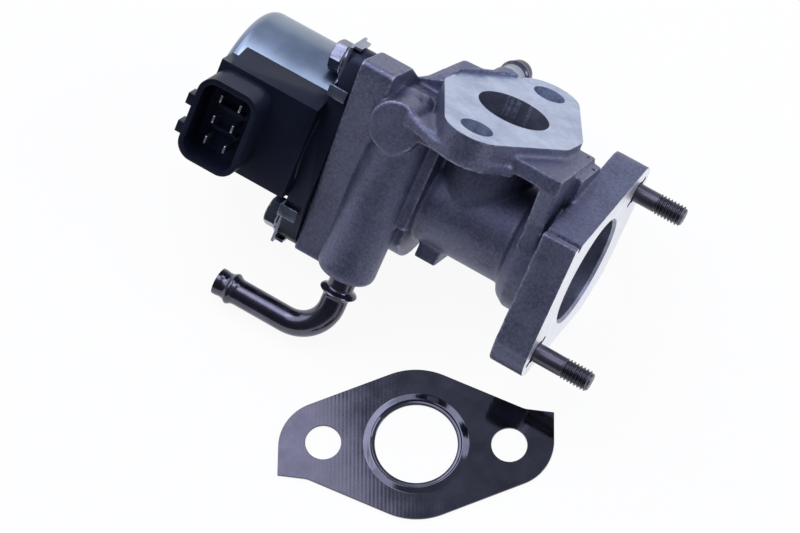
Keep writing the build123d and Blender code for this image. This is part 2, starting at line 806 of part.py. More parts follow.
spring_front_x = guide_wall_end_x - spring_washer_thick
spring_span = spring_front_x - retainer_front_x
with BuildPart() as return_spring:
    with BuildLine() as coil_line:
        Helix(
            pitch=(spring_span - 2 * wire_radius) / spring_turns,
            height=spring_span - 2 * wire_radius,
            radius=spring_mean_radius,
            center=(retainer_front_x + wire_radius, 0, 0),
            direction=(1, 0, 0),
        )
    with BuildSketch(Plane(origin=coil_line.line @ 0, z_dir=coil_line.line % 0)):
        Circle(wire_radius)
    sweep(is_frenet=True)
return_spring.part.label = "return_spring"
export_step(return_spring.part, "parts/return_spring.step")


# ================================================================ coolant elbow and rear nipple
elbow_top = inlet_point(pipe_x, boss_end_n + pipe_socket_depth - loose_gap, boss_t)
elbow_corner = inlet_point(pipe_x, elbow_low_n, boss_t)
elbow_mouth = inlet_point(elbow_end_x, elbow_low_n, boss_t)
with BuildPart() as coolant_elbow_pipe:
    with BuildLine() as elbow_line:
        FilletPolyline(elbow_top, elbow_corner, elbow_mouth, radius=bend_radius)
    with BuildSketch(Plane(origin=elbow_top, z_dir=elbow_line.line % 0)):
        Circle(pipe_radius)
        Circle(pipe_radius - pipe_wall, mode=Mode.SUBTRACT)
    sweep()
    with BuildSketch(side_plane(0, 0, boss_t)) as collar_section:
        with Locations((pipe_x + (pipe_radius + collar_radius) / 2 - pipe_wall / 2, elbow_stop_n)):
            SlotOverall(collar_radius - pipe_radius + pipe_wall, 2 * collar_half_width)
    revolve(axis=Axis(elbow_top, boss_down))
    with BuildSketch(side_plane(0, 0, boss_t)) as bead_section:
        with Locations((elbow_end_x + bead_setback, elbow_low_n + pipe_radius - pipe_wall / 2)):
            Ellipse(bead_half_width, bead_radius - pipe_radius + pipe_wall / 2)
    revolve(axis=Axis(elbow_mouth, (1, 0, 0)))
coolant_elbow_pipe.part.label = "coolant_elbow_pipe"
export_step(coolant_elbow_pipe.part, "parts/coolant_elbow_pipe.step")

with BuildPart() as coolant_rear_pipe:
    with BuildSketch(side_plane(nipple_x, nipple_n, nipple_root_t + loose_gap)):
        Circle(pipe_radius)
        Circle(pipe_radius - pipe_wall, mode=Mode.SUBTRACT)
    extrude(amount=nipple_root_t + loose_gap - nipple_end_t)
    with BuildSketch(inlet_plane(0, nipple_n, 0)) as nipple_bead_section:
        with Locations((nipple_x + pipe_radius - pipe_wall / 2, nipple_end_t - bead_setback)):
            Ellipse(bead_radius - pipe_radius + pipe_wall / 2, bead_half_width)
    revolve(axis=Axis(inlet_point(nipple_x, nipple_n, 0), inlet_across))
coolant_rear_pipe.part.label = "coolant_rear_pipe"
export_step(coolant_rear_pipe.part, "parts/coolant_rear_pipe.step")


# ================================================================ motor seal
with BuildPart() as motor_seal_ring:
    seal_middle_x = plate_back_x + seal_depth / 2
    seal_middle_radius = (seal_inner_radius + seal_outer_radius) / 2
    with BuildSketch(Plane.XY):
        with Locations((seal_middle_x, seal_middle_radius)):
            Ellipse(seal_depth / 2, (seal_outer_radius - seal_inner_radius) / 2)
    revolve(axis=Axis.X)
motor_seal_ring.part.label = "motor_seal_ring"
export_step(motor_seal_ring.part, "parts/motor_seal_ring.step")


# ================================================================ moulded motor body
# Glass-filled nylon: the flange with its three ears, the connector box and the shroud in one piece.
with BuildPart() as motor_flange:
    with BuildSketch(motor_section(flange_back_x)):
        Circle(flange_disc_radius)
        with Locations((bolt_n, -bolt_t), (-bolt_n, -bolt_t), (0, -bolt_far_t)):
            Circle(ear_radius)
        make_hull()
        with Locations((0, -flange_side_t)):
            Rectangle(4 * bolt_n, flange_disc_radius, mode=Mode.SUBTRACT,
                      align=(Align.CENTER, Align.MIN))
        with Locations((bolt_n, -bolt_t), (-bolt_n, -bolt_t), (0, -bolt_far_t)):
            Circle(bolt_hole_radius, mode=Mode.SUBTRACT)
    extrude(amount=motor_flange_thick)

with BuildPart() as connector_box:
    with BuildSketch(motor_section(flange_back_x - box_length)):
        with BuildLine():
            Polyline(
                (-box_half_n, box_face_t),
                (box_half_n, box_face_t),
                (box_ledge_n, box_ledge_t),
                (box_ledge_n, 0),
                (-box_half_n, 0),
                close=True,
            )
        make_face()
        Circle(can_radius + press_gap, mode=Mode.SUBTRACT)
    extrude(amount=box_length)
    # the sloping ledge stops short of the end of the box
    with BuildSketch(motor_section(flange_back_x - box_length)):
        with Locations((box_half_n, 0)):
            Rectangle(box_ledge_n, box_face_t - press_gap, align=(Align.MIN, Align.MIN))
    extrude(amount=box_length - box_ledge_length, mode=Mode.SUBTRACT)

with BuildPart() as motor_body:
    add(motor_flange.part)
    add(connector_box.part)
    # shroud around the terminals, with its two latch tabs
    with BuildSketch(connector_plane(box_face_t)) as shroud_base:
        with Locations((shroud_x, 0)):
            RectangleRounded(2 * shroud_half_x, 2 * shroud_half_n, shroud_corner)
    extrude(amount=shroud_mouth_t - box_face_t)
    with BuildSketch(connector_plane(shroud_floor_t)) as shroud_cavity:
        with Locations((shroud_x, 0)):
            RectangleRounded(2 * (shroud_half_x - shroud_wall), 2 * (shroud_half_n - shroud_wall),
                             shroud_corner - shroud_wall)
    extrude(amount=shroud_mouth_t, mode=Mode.SUBTRACT)
    with BuildSketch(connector_plane(shroud_mouth_t - tab_depth)) as latch_tabs:
        with Locations((shroud_x - shroud_half_x - tab_reach, tab_upper_n),
                       (shroud_x - shroud_half_x - tab_reach, tab_lower_n)):
            Rectangle(tab_reach + shroud_wall, tab_wide, align=(Align.MIN, Align.CENTER))
    extrude(amount=tab_depth)
    with BuildSketch(connector_plane(shroud_floor_t)) as floor_ribs:
        with Locations((shroud_x, pin_pitch_n / 2), (shroud_x, -pin_pitch_n / 2)):
            Rectangle(rib_long, rib_thick)
    extrude(amount=rib_rise)
    # slots that the terminals are pressed through
    with BuildSketch(connector_plane(0)) as pin_slots:
        with Locations((shroud_x, 0)):
            with GridLocations(pin_pitch_x, pin_pitch_n, 2, 3):
                Rectangle(pin_thick + 2 * press_gap, pin_wide + 2 * press_gap)
    extrude(amount=shroud_mouth_t, mode=Mode.SUBTRACT)
    # spigot that holds the bearing in its cup
    with BuildSketch(stem_plane(flange_back_x)):
        Circle(spigot_radius)
        Circle(spigot_inner_radius, mode=Mode.SUBTRACT)
    extrude(amount=-spigot_length)
    # recess that the spring retainer moves in, and the seat of the screw guide
    with BuildSketch(stem_plane(plate_back_x)):
        Circle(pocket_radius)
    extrude(amount=-flange_recess_depth, mode=Mode.SUBTRACT)
    with BuildSketch(stem_plane(plate_back_x)):
        Circle(flange_hole_radius + press_gap)
    extrude(amount=-motor_flange_thick - face_gap, mode=Mode.SUBTRACT)
motor_body.part.label = "motor_body"
export_step(motor_body.part, "parts/motor_body.step")

with BuildPart() as connector_pins:
    with BuildSketch(connector_plane(pin_root_t)):
        with Locations((shroud_x, 0)):
            with GridLocations(pin_pitch_x, pin_pitch_n, 2, 3):
                Rectangle(pin_thick, pin_wide)
    extrude(amount=pin_tip_t - pin_root_t)
connector_pins.part.label = "connector_pins"
export_step(connector_pins.part, "parts/connector_pins.step")


# ================================================================ screw guide
# Steel bush with two flats inside: it lets the lead screw slide but not turn.
guide_front_x = plate_back_x - flange_recess_depth - face_gap
with BuildPart() as screw_guide:
    with BuildSketch(stem_plane(guide_front_x - guide_length)):
        Circle(flange_hole_radius)
    extrude(amount=guide_length)
    with BuildSketch(stem_plane(guide_front_x + face_gap)):
        Circle(screw_radius + running_gap)
        Rectangle(2 * (screw_flat + running_gap), 4 * screw_radius, mode=Mode.INTERSECT)
    extrude(amount=-guide_length - 2 * face_gap, mode=Mode.SUBTRACT)
screw_guide.part.label = "screw_guide"
export_step(screw_guide.part, "parts/screw_guide.step")


# ================================================================ motor can
can_inner_radius = can_radius - can_wall
can_inner_corner = can_corner - can_wall
with BuildPart() as motor_can:
    with BuildSketch(stem_plane(can_end_x)):
        Circle(can_radius)
    extrude(amount=can_length)
    fillet(motor_can.faces().sort_by(Axis.X)[0].edges(), can_corner)
    with BuildSketch(Plane.XY) as can_inside:
        with BuildLine():
            Polyline(
                (flange_back_x + face_gap, 0),
                (flange_back_x + face_gap, can_inner_radius),
                (can_end_x + can_wall + can_inner_corner, can_inner_radius),
                (can_end_x + can_wall, can_inner_radius - can_inner_corner),
                (can_end_x + can_wall, rear_ring_radius),
                (can_end_x + can_wall + rear_ring_length, rear_ring_radius),
                (can_end_x + can_wall + rear_ring_length, rear_bush_radius + press_gap),
                (can_end_x + can_wall, rear_bush_radius + press_gap),
                (can_end_x + can_wall, 0),
                close=True,
            )
        make_face()
    revolve(axis=Axis.X, mode=Mode.SUBTRACT)
    with BuildSketch(connector_plane(0)):
        with Locations((shroud_x, 0)):
            Rectangle(pin_pitch_x + 2 * shroud_wall, 2 * can_window_half)
    extrude(amount=2 * can_radius, mode=Mode.SUBTRACT)
motor_can.part.label = "motor_can"
export_step(motor_can.part, "parts/motor_can.step")


# ================================================================ motor bolts and their clips
bolt_seat_x = flange_back_x - clip_thick
bolt_tip_x = plate_back_x + bolt_reach
bolt_places = [motor_point(0, bolt_n, bolt_t), motor_point(0, -bolt_n, bolt_t),
               motor_point(0, 0, bolt_far_t)]
with BuildPart() as motor_bolts:
    for bolt_place in bolt_places:
        bolt_y = bolt_place[1]
        bolt_z = bolt_place[2]
        with BuildSketch(Plane(origin=(bolt_seat_x, bolt_y, bolt_z), x_dir=motor_up, z_dir=(1, 0, 0))):
            Circle(bolt_radius)
        extrude(amount=bolt_tip_x - bolt_seat_x)
        with BuildSketch(Plane(origin=(bolt_seat_x, bolt_y, bolt_z), x_dir=motor_up, z_dir=(1, 0, 0))):
            Circle(bolt_flange_radius)
        extrude(amount=-bolt_flange_thick)
        with BuildSketch(Plane(origin=(bolt_seat_x, bolt_y, bolt_z), x_dir=motor_up, z_dir=(1, 0, 0))):
            RegularPolygon(bolt_across_flats / 2, side_count=6, major_radius=False)
        extrude(amount=-bolt_flange_thick - bolt_head_height)
    head_ends = motor_bolts.faces().filter_by(
        lambda face: abs(face.center().X - bolt_seat_x + bolt_flange_thick + bolt_head_height) < face_gap)
    chamfer(head_ends.edges(), bolt_head_chamfer)
motor_bolts.part.label = "motor_bolts"
export_step(motor_bolts.part, "parts/motor_bolts.step")

tab_out_t = -flange_side_t + running_gap + clip_thick
with BuildPart() as bolt_clips:
    for way in (1, -1):
        inner_n = way * (bolt_n - clip_inner_long)
        outer_n = way * (bolt_n + clip_outer_long + clip_thick)
        tab_n = way * (bolt_n - clip_inner_long + clip_tab_wide)
        with BuildSketch(motor_section(flange_back_x - clip_thick)) as clip_plate:
            with BuildLine():
                Polyline(
                    (inner_n, -bolt_t - clip_half_wide),
                    (outer_n, -bolt_t - clip_half_wide),
                    (outer_n, -bolt_t + clip_half_wide),
                    (tab_n, -bolt_t + clip_half_wide),
                    (tab_n, tab_out_t),
                    (inner_n, tab_out_t),
                    close=True,
                )
            make_face()
            with Locations((way * bolt_n, -bolt_t)):
                Circle(bolt_hole_radius, mode=Mode.SUBTRACT)
            Circle(can_radius + loose_gap, mode=Mode.SUBTRACT)
        extrude(amount=clip_thick)
        # lip folded over the end of the ear
        with BuildSketch(motor_section(flange_back_x - clip_thick)) as clip_lip_section:
            with Locations((outer_n, -bolt_t)):
                Rectangle(clip_thick, 2 * clip_lip_half,
                          align=(Align.MAX if way > 0 else Align.MIN, Align.CENTER))
        extrude(amount=clip_thick + clip_lip)
        # tab folded along the side of the flange
        with BuildSketch(motor_section(flange_back_x - clip_thick)) as clip_tab_section:
            with Locations(((inner_n + tab_n) / 2, tab_out_t)):
                Rectangle(clip_tab_wide, clip_thick, align=(Align.CENTER, Align.MAX))
        extrude(amount=clip_thick + clip_tab_reach)
    # the clip of the far bolt has a lip only
    with BuildSketch(motor_section(flange_back_x - clip_thick)) as far_clip:
        with Locations((0, -bolt_far_t)):
            Circle(clip_outer_long)
            Rectangle(2 * clip_half_wide, clip_half_wide, align=(Align.CENTER, Align.MIN))
            Circle(bolt_hole_radius, mode=Mode.SUBTRACT)
        Circle(can_radius + loose_gap, mode=Mode.SUBTRACT)
    extrude(amount=clip_thick)
bolt_clips.part.label = "bolt_clips"
export_step(bolt_clips.part, "parts/bolt_clips.step")


# ================================================================ bearing
with BuildPart() as bearing_plate:
    with BuildSketch(stem_plane(flange_back_x)):
        Circle(can_inner_radius - press_gap)
    extrude(amount=-front_plate_thick)
    with BuildSketch(stem_plane(flange_back_x)):
        Circle(bearing_outer_radius + press_gap + bearing_cup_wall)
    extrude(amount=bearing_back_x - bearing_cup_lip - flange_back_x)
    with BuildSketch(stem_plane(flange_back_x)):
        Circle(bearing_outer_radius + press_gap)
    extrude(amount=bearing_back_x - flange_back_x, mode=Mode.SUBTRACT)
    with BuildSketch(stem_plane(flange_back_x)):
        Circle(bearing_cup_hole_radius)
    extrude(amount=bearing_back_x - 2 * bearing_cup_lip - flange_back_x, mode=Mode.SUBTRACT)
bearing_plate.part.label = "bearing_plate"
export_step(bearing_plate.part, "parts/bearing_plate.step")

bearing_middle_x = (bearing_front_x + bearing_back_x) / 2
with BuildPart() as bearing_outer_ring:
    with BuildSketch(stem_plane(bearing_back_x)):
        Circle(bearing_outer_radius)
        Circle(outer_ring_radius, mode=Mode.SUBTRACT)
    extrude(amount=bearing_width)
    with Locations(stem_plane(bearing_middle_x).location):
        Torus(ball_circle_radius, groove_radius, mode=Mode.SUBTRACT)
bearing_outer_ring.part.label = "bearing_outer_ring"
export_step(bearing_outer_ring.part, "parts/bearing_outer_ring.step")

with BuildPart() as bearing_inner_ring:
    with BuildSketch(stem_plane(bearing_back_x)):
        Circle(inner_ring_radius)
        Circle(bearing_bore_radius, mode=Mode.SUBTRACT)
    extrude(amount=bearing_width)
    with Locations(stem_plane(bearing_middle_x).location):
        Torus(ball_circle_radius, groove_radius, mode=Mode.SUBTRACT)
bearing_inner_ring.part.label = "bearing_inner_ring"
export_step(bearing_inner_ring.part, "parts/bearing_inner_ring.step")

with BuildPart() as bearing_balls:
    with Locations(stem_plane(bearing_middle_x).location):
        with PolarLocations(ball_circle_radius, ball_count):
            Sphere(ball_radius)
bearing_balls.part.label = "bearing_balls"
export_step(bearing_balls.part, "parts/bearing_balls.step")

with BuildPart() as bearing_cage:
    with BuildSketch(stem_plane(bearing_middle_x - cage_thick / 2)):
        Circle(cage_outer_radius)
        Circle(cage_inner_radius, mode=Mode.SUBTRACT)
    extrude(amount=cage_thick)
    with Locations(stem_plane(bearing_middle_x).location):
        with PolarLocations(ball_circle_radius, ball_count):
            Cylinder(ball_radius + running_gap, 4 * ball_radius, rotation=(0, 90, 0),
                     mode=Mode.SUBTRACT)
bearing_cage.part.label = "bearing_cage"
export_step(bearing_cage.part, "parts/bearing_cage.step")

with BuildPart() as preload_washer:
    with BuildSketch(stem_plane(bearing_front_x)):
        Circle(bearing_outer_radius - press_gap)
        Circle(spigot_inner_radius, mode=Mode.SUBTRACT)
    extrude(amount=flange_back_x - spigot_length - bearing_front_x)
preload_washer.part.label = "preload_washer"
export_step(preload_washer.part, "parts/preload_washer.step")

rear_bush_back_x = can_end_x + can_wall
with BuildPart() as rear_bush:
    with BuildSketch(stem_plane(rear_bush_back_x)):
        Circle(rear_bush_radius)
        Circle(rear_journal_radius + running_gap, mode=Mode.SUBTRACT)
    extrude(amount=rear_bush_length)
rear_bush.part.label = "rear_bush"
export_step(rear_bush.part, "parts/rear_bush.step")


# ================================================================ stator
# Two phases. Each has a wound bobbin between two toothed yokes; neighbouring yokes' teeth interleave.
yoke_radius = can_inner_radius - press_gap
yoke_fronts = []
for phase in range(2):
    phase_front_x = stator_front_x - phase * phase_length
    yoke_fronts.append((phase_front_x, -1, 0))
    yoke_fronts.append((phase_front_x - phase_length + yoke_thick + press_gap, 1, 1))
with BuildPart() as stator_yokes:
    for yoke_x, tooth_way, half_step in yoke_fronts:
        with BuildSketch(stem_plane(yoke_x)):
            Circle(yoke_radius)
            Circle(yoke_bore_radius, mode=Mode.SUBTRACT)
        extrude(amount=-yoke_thick)
        tooth_root_x = yoke_x - yoke_thick if tooth_way < 0 else yoke_x
        turn = half_step * 180 / tooth_count
        with BuildSketch(stem_plane(tooth_root_x)):
            Circle(yoke_bore_radius + tooth_thick)
            Circle(yoke_bore_radius, mode=Mode.SUBTRACT)
            tooth_bars = Sketch() + [
                Rot(0, 0, turn + index * 360 / tooth_count)
                * Rectangle(2 * yoke_radius, 2 * yoke_bore_radius * sin(radians(tooth_half_angle)),
                            align=(Align.MIN, Align.CENTER), mode=Mode.PRIVATE)
                for index in range(tooth_count)
            ]
            add(tooth_bars, mode=Mode.INTERSECT)
        extrude(amount=tooth_way * tooth_length)
stator_yokes.part.label = "stator_yokes"
export_step(stator_yokes.part, "parts/stator_yokes.step")

bobbin_fronts = [stator_front_x - yoke_thick, stator_front_x - phase_length - yoke_thick]
bobbin_length = phase_length - 2 * yoke_thick - press_gap
with BuildPart() as coil_bobbins:
    for bobbin_x in bobbin_fronts:
        with BuildSketch(stem_plane(bobbin_x)):
            Circle(bobbin_inner_radius + bobbin_wall)
            Circle(bobbin_inner_radius, mode=Mode.SUBTRACT)
        extrude(amount=-bobbin_length)
        with BuildSketch(stem_plane(bobbin_x)):
            Circle(bobbin_outer_radius)
            Circle(bobbin_inner_radius, mode=Mode.SUBTRACT)
        extrude(amount=-bobbin_wall)
        with BuildSketch(stem_plane(bobbin_x - bobbin_length)):
            Circle(bobbin_outer_radius)
            Circle(bobbin_inner_radius, mode=Mode.SUBTRACT)
        extrude(amount=bobbin_wall)
coil_bobbins.part.label = "coil_bobbins"
export_step(coil_bobbins.part, "parts/coil_bobbins.step")

with BuildPart() as stator_coils:
    for bobbin_x in bobbin_fronts:
        with BuildSketch(stem_plane(bobbin_x - bobbin_wall - press_gap)):
            Circle(coil_outer_radius)
            Circle(bobbin_inner_radius + bobbin_wall + press_gap, mode=Mode.SUBTRACT)
        extrude(amount=-bobbin_length + 2 * bobbin_wall + 2 * press_gap)
stator_coils.part.label = "stator_coils"
export_step(stator_coils.part, "parts/stator_coils.step")


# ================================================================ rotor
nut_front_x = sleeve_front_x - face_gap
with BuildPart() as rotor_sleeve:
    with BuildSketch(Plane.XY) as sleeve_profile:
        with BuildLine():
            Polyline(
                (bearing_front_x, sleeve_bore_radius),
                (bearing_front_x, bearing_bore_radius - press_gap),
                (sleeve_front_x, bearing_bore_radius - press_gap),
                (sleeve_front_x, sleeve_radius),
                (sleeve_back_x, sleeve_radius),
                (sleeve_back_x, rear_journal_radius),
                (sleeve_back_x - rear_journal_length, rear_journal_radius),
                (sleeve_back_x - rear_journal_length, screw_radius + loose_gap),
                (nut_front_x - nut_length, screw_radius + loose_gap),
                (nut_front_x - nut_length, sleeve_bore_radius),
                close=True,
            )
        make_face()
    revolve(axis=Axis.X)
rotor_sleeve.part.label = "rotor_sleeve"
export_step(rotor_sleeve.part, "parts/rotor_sleeve.step")

with BuildPart() as rotor_magnet:
    with BuildSketch(stem_plane(sleeve_back_x)):
        Circle(magnet_radius)
        Circle(sleeve_radius + press_gap, mode=Mode.SUBTRACT)
    extrude(amount=magnet_length)
rotor_magnet.part.label = "rotor_magnet"
export_step(rotor_magnet.part, "parts/rotor_magnet.step")

with BuildPart() as rotor_nut:
    with BuildSketch(stem_plane(nut_front_x - nut_length)):
        Circle(sleeve_bore_radius - press_gap)
        Circle(screw_radius + running_gap, mode=Mode.SUBTRACT)
    extrude(amount=nut_length)
rotor_nut.part.label = "rotor_nut"
export_step(rotor_nut.part, "parts/rotor_nut.step")

screw_tip_x = stem_end_x - face_gap
with BuildPart() as lead_screw:
    with BuildSketch(stem_plane(screw_tip_x - screw_length)):
        Circle(screw_radius)
    extrude(amount=screw_length - screw_flat_length)
    with BuildSketch(stem_plane(screw_tip_x - screw_flat_length)):
        Circle(screw_radius)
        Rectangle(2 * screw_flat, 4 * screw_radius, mode=Mode.INTERSECT)
    extrude(amount=screw_flat_length)
lead_screw.part.label = "lead_screw"
export_step(lead_screw.part, "parts/lead_screw.step")


# ================================================================ inlet gasket
# Embossed steel sheet that goes under the inlet flange; it lies loose beside the valve.
gasket_plane = Plane(
    origin=(gasket_x, gasket_y, bench_level),
    x_dir=(cos(radians(gasket_turn)), sin(radians(gasket_turn)), 0),
    z_dir=(0, 0, 1),
)
gasket_ridges = [(0, gasket_half_high), (0, -gasket_half_high)]
gasket_ends = [(-gasket_half_long, gasket_side_low), (gasket_half_long, -gasket_side_low)]
gasket_steps = [(gasket_step_long, gasket_step_high), (-gasket_step_long, -gasket_step_high)]
gasket_corners = [
    (gasket_half_long, gasket_corner_n),
    gasket_steps[0],
    gasket_ridges[0],
    gasket_ends[0],
    (-gasket_half_long, -gasket_corner_n),
    gasket_steps[1],
    gasket_ridges[1],
    gasket_ends[1],
]


def nearest_corners(corners, places):
    """The sketch corners that lie on the given places."""
    return corners.filter_by(
        lambda corner: any((Vector(place) - Vector(corner.X, corner.Y)).length < face_gap
                           for place in places))


with BuildSketch() as gasket_sheet:
    with BuildLine():
        Polyline(gasket_corners, close=True)
    make_face()
    fillet(nearest_corners(gasket_sheet.vertices(), gasket_ridges), gasket_ridge_radius)
    fillet(nearest_corners(gasket_sheet.vertices(), gasket_ends), gasket_end_radius)
    fillet(nearest_corners(gasket_sheet.vertices(), gasket_steps), gasket_step_radius)
    Circle(gasket_port_radius, mode=Mode.SUBTRACT)
    with Locations((gasket_pitch / 2, 0), (-gasket_pitch / 2, 0)):
        Circle(gasket_hole_radius, mode=Mode.SUBTRACT)

with BuildPart() as inlet_gasket:
    with BuildSketch(gasket_plane):
        add(gasket_sheet.sketch)
    extrude(amount=gasket_thick)
    with BuildSketch(gasket_plane.offset(gasket_thick)):
        Circle(gasket_bead_radius)
        Circle(gasket_bead_radius - gasket_bead_width, mode=Mode.SUBTRACT)
    extrude(amount=gasket_bead_rise, taper=30)
inlet_gasket.part.label = "inlet_gasket"
export_step(inlet_gasket.part, "parts/inlet_gasket.step")
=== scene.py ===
# %% [markdown]
# # Exhaust gas recirculation valve
# The valve lies on a bench: a cast aluminium body with two flanges, a stepper motor in a steel can,
# a black connector, two coolant pipes and a loose gasket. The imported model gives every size, and
# this file dresses it. It starts by loading that model as a fixed frame.

# %% Load the frame
import json
import math
from contextlib import contextmanager
import bmesh
import bpy
from mathutils import Matrix, Vector

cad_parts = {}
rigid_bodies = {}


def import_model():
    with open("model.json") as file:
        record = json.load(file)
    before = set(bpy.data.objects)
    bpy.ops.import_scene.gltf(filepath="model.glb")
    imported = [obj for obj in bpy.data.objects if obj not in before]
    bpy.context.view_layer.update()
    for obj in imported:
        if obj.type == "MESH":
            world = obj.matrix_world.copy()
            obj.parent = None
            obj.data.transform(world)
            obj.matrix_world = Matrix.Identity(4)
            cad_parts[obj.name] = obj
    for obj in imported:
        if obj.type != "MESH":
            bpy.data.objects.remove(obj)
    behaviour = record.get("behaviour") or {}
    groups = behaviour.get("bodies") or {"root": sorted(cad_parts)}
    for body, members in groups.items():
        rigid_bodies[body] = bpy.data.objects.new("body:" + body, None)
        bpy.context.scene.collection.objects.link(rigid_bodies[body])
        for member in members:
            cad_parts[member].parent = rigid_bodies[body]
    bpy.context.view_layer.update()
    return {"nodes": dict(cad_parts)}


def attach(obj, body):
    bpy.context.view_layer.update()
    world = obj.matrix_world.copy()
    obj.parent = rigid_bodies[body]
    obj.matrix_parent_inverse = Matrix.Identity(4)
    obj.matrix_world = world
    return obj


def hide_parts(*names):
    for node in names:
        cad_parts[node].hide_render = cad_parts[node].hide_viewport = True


for leftover in list(bpy.data.objects):
    bpy.data.objects.remove(leftover)
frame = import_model()

MM = 0.001
nodes = frame["nodes"]

# %% [markdown]
# ## Directions
# The inlet flange and the motor are each turned about the stem axis, which is the X axis. Two small
# frames keep the numbers simple: a place is given along the stem, along a flange's normal and across.

# %% Directions of the inlet and of the motor
INLET_CLOCK = math.radians(42.6)
MOTOR_CLOCK = math.radians(46.0)


def clocked(angle):
    """Matrix whose X is the stem, Y runs across and Z is the upright at that clock angle."""
    upright = Vector((0, math.cos(angle), math.sin(angle)))
    across = upright.cross(Vector((1, 0, 0)))
    turned = Matrix((Vector((1, 0, 0)), across, upright)).transposed()
    return turned.to_4x4()


INLET = clocked(INLET_CLOCK)
MOTOR = clocked(MOTOR_CLOCK)


def place(frame_matrix, x, across, up):
    """Point in metres from millimetres along the stem, across and up in a clocked frame."""
    return frame_matrix @ Vector((x * MM, across * MM, up * MM))


print("inlet normal:", [round(v, 3) for v in place(INLET, 0, 0, 1000)])

# %% [markdown]
# ## Camera
# A long lens from above and a little to one side, 0.9 m away, so that parallel edges stay nearly
# parallel. A camera can be turned with a Track To constraint, but a matrix built from its own right,
# up and back directions is exact and leaves nothing to solve.

# %% Camera
CAMERA_AZIMUTH = math.radians(31.16)
CAMERA_ELEVATION = math.radians(67.56)
CAMERA_PLACE = (0.132109, -0.314939, 0.821376)
CAMERA_LENS = 149.49
camera_data = bpy.data.cameras.new("view_camera")
camera_data.sensor_width = 36.0
camera_data.lens = CAMERA_LENS
camera_data.clip_start = 0.01
camera = bpy.data.objects.new("view_camera", camera_data)
bpy.context.scene.collection.objects.link(camera)
back = Vector((math.sin(CAMERA_AZIMUTH) * math.cos(CAMERA_ELEVATION),
               -math.cos(CAMERA_AZIMUTH) * math.cos(CAMERA_ELEVATION),
               math.sin(CAMERA_ELEVATION)))
right = Vector((math.cos(CAMERA_AZIMUTH), math.sin(CAMERA_AZIMUTH), 0))
up = back.cross(right)
camera.matrix_world = Matrix.Translation(CAMERA_PLACE) @ Matrix((right, up, back)).transposed().to_4x4()
bpy.context.scene.camera = camera
bpy.context.scene.view_settings.view_transform = "Standard"
print("camera at", [round(v, 3) for v in camera.matrix_world.translation])

# %% [markdown]
# ## Helpers for finishes
# Every finish below is a node tree. One function turns an sRGB hex value into the linear colour that
# the shader wants, and one adds a node with its settings and links. The other three start a
# material, give a pattern of a real size, and let patterns lead its colour, gloss and relief.

# %% Colour and node helpers


def linear(hex_value):
    """Linear RGBA of an sRGB hex colour such as '4d4d57'."""
    parts = [int(hex_value[i:i + 2], 16) / 255 for i in (0, 2, 4)]
    return tuple(p / 12.92 if p <= 0.04045 else ((p + 0.055) / 1.055) ** 2.4 for p in parts) + (1.0,)


def add_node(tree, kind, inputs=None, **settings):
    """A node with its settings; each input is a value or the socket that feeds it."""
    made = tree.nodes.new(kind)
    for name, value in settings.items():
        setattr(made, name, value)
    for name, value in (inputs or {}).items():
        if isinstance(value, bpy.types.NodeSocket):
            tree.links.new(value, made.inputs[name])
        else:
            made.inputs[name].default_value = value
    return made


def start_material(name, **shader_values):
    """A material with a Principled shader whose plain values are set on its own sockets."""
    material = bpy.data.materials.new(name)
    material.use_nodes = True
    tree = material.node_tree
    shader = tree.nodes["Principled BSDF"]
    for socket, value in shader_values.items():
        shader.inputs[socket.replace("_", " ")].default_value = value
    on_object = add_node(tree, "ShaderNodeTexCoord")
    return material, tree, shader, on_object.outputs["Object"]


print("node helpers ready")

# %% Patterns that lead a finish
# Noise seldom leaves this range, so a finish runs from one end of it to the other.
NOISE_LOW = 0.3
NOISE_HIGH = 0.7


def grain(tree, at, size_mm, detail=4.0, roughness=0.6, stretch=(1, 1, 1)):
    """A pattern whose blobs are about size_mm across; stretch above 1 packs them tighter on that axis."""
    scaled = add_node(tree, "ShaderNodeMapping", {"Vector": at, "Scale": stretch})
    noise = add_node(tree, "ShaderNodeTexNoise",
                     {"Vector": scaled.outputs["Vector"], "Scale": 1 / (size_mm * MM),
                      "Detail": detail, "Roughness": roughness})
    return noise.outputs["Fac"]


def dress(tree, shader, tone=None, gloss=None, relief=None):
    """Lets patterns lead a finish: its colour between two tones, its roughness and its relief in mm."""
    if tone:
        pattern, dark, light, *ends = tone
        ramp = add_node(tree, "ShaderNodeValToRGB", {"Fac": pattern})
        ends = ends or (NOISE_LOW, NOISE_HIGH)
        for stop, position, colour in zip(ramp.color_ramp.elements, ends, (dark, light)):
            stop.position = position
            stop.color = linear(colour)
        tree.links.new(ramp.outputs["Color"], shader.inputs["Base Color"])
    if gloss:
        pattern, low, high = gloss
        rough = add_node(tree, "ShaderNodeMapRange", {"Value": pattern, "From Min": NOISE_LOW,
                                                      "From Max": NOISE_HIGH, "To Min": low,
                                                      "To Max": high})
        tree.links.new(rough.outputs["Result"], shader.inputs["Roughness"])
    if relief:
        pattern, depth_mm = relief
        bump = add_node(tree, "ShaderNodeBump", {"Strength": 1.0, "Distance": depth_mm * MM,
                                                 "Height": pattern})
        tree.links.new(bump.outputs["Normal"], shader.inputs["Normal"])


print("pattern helpers ready")
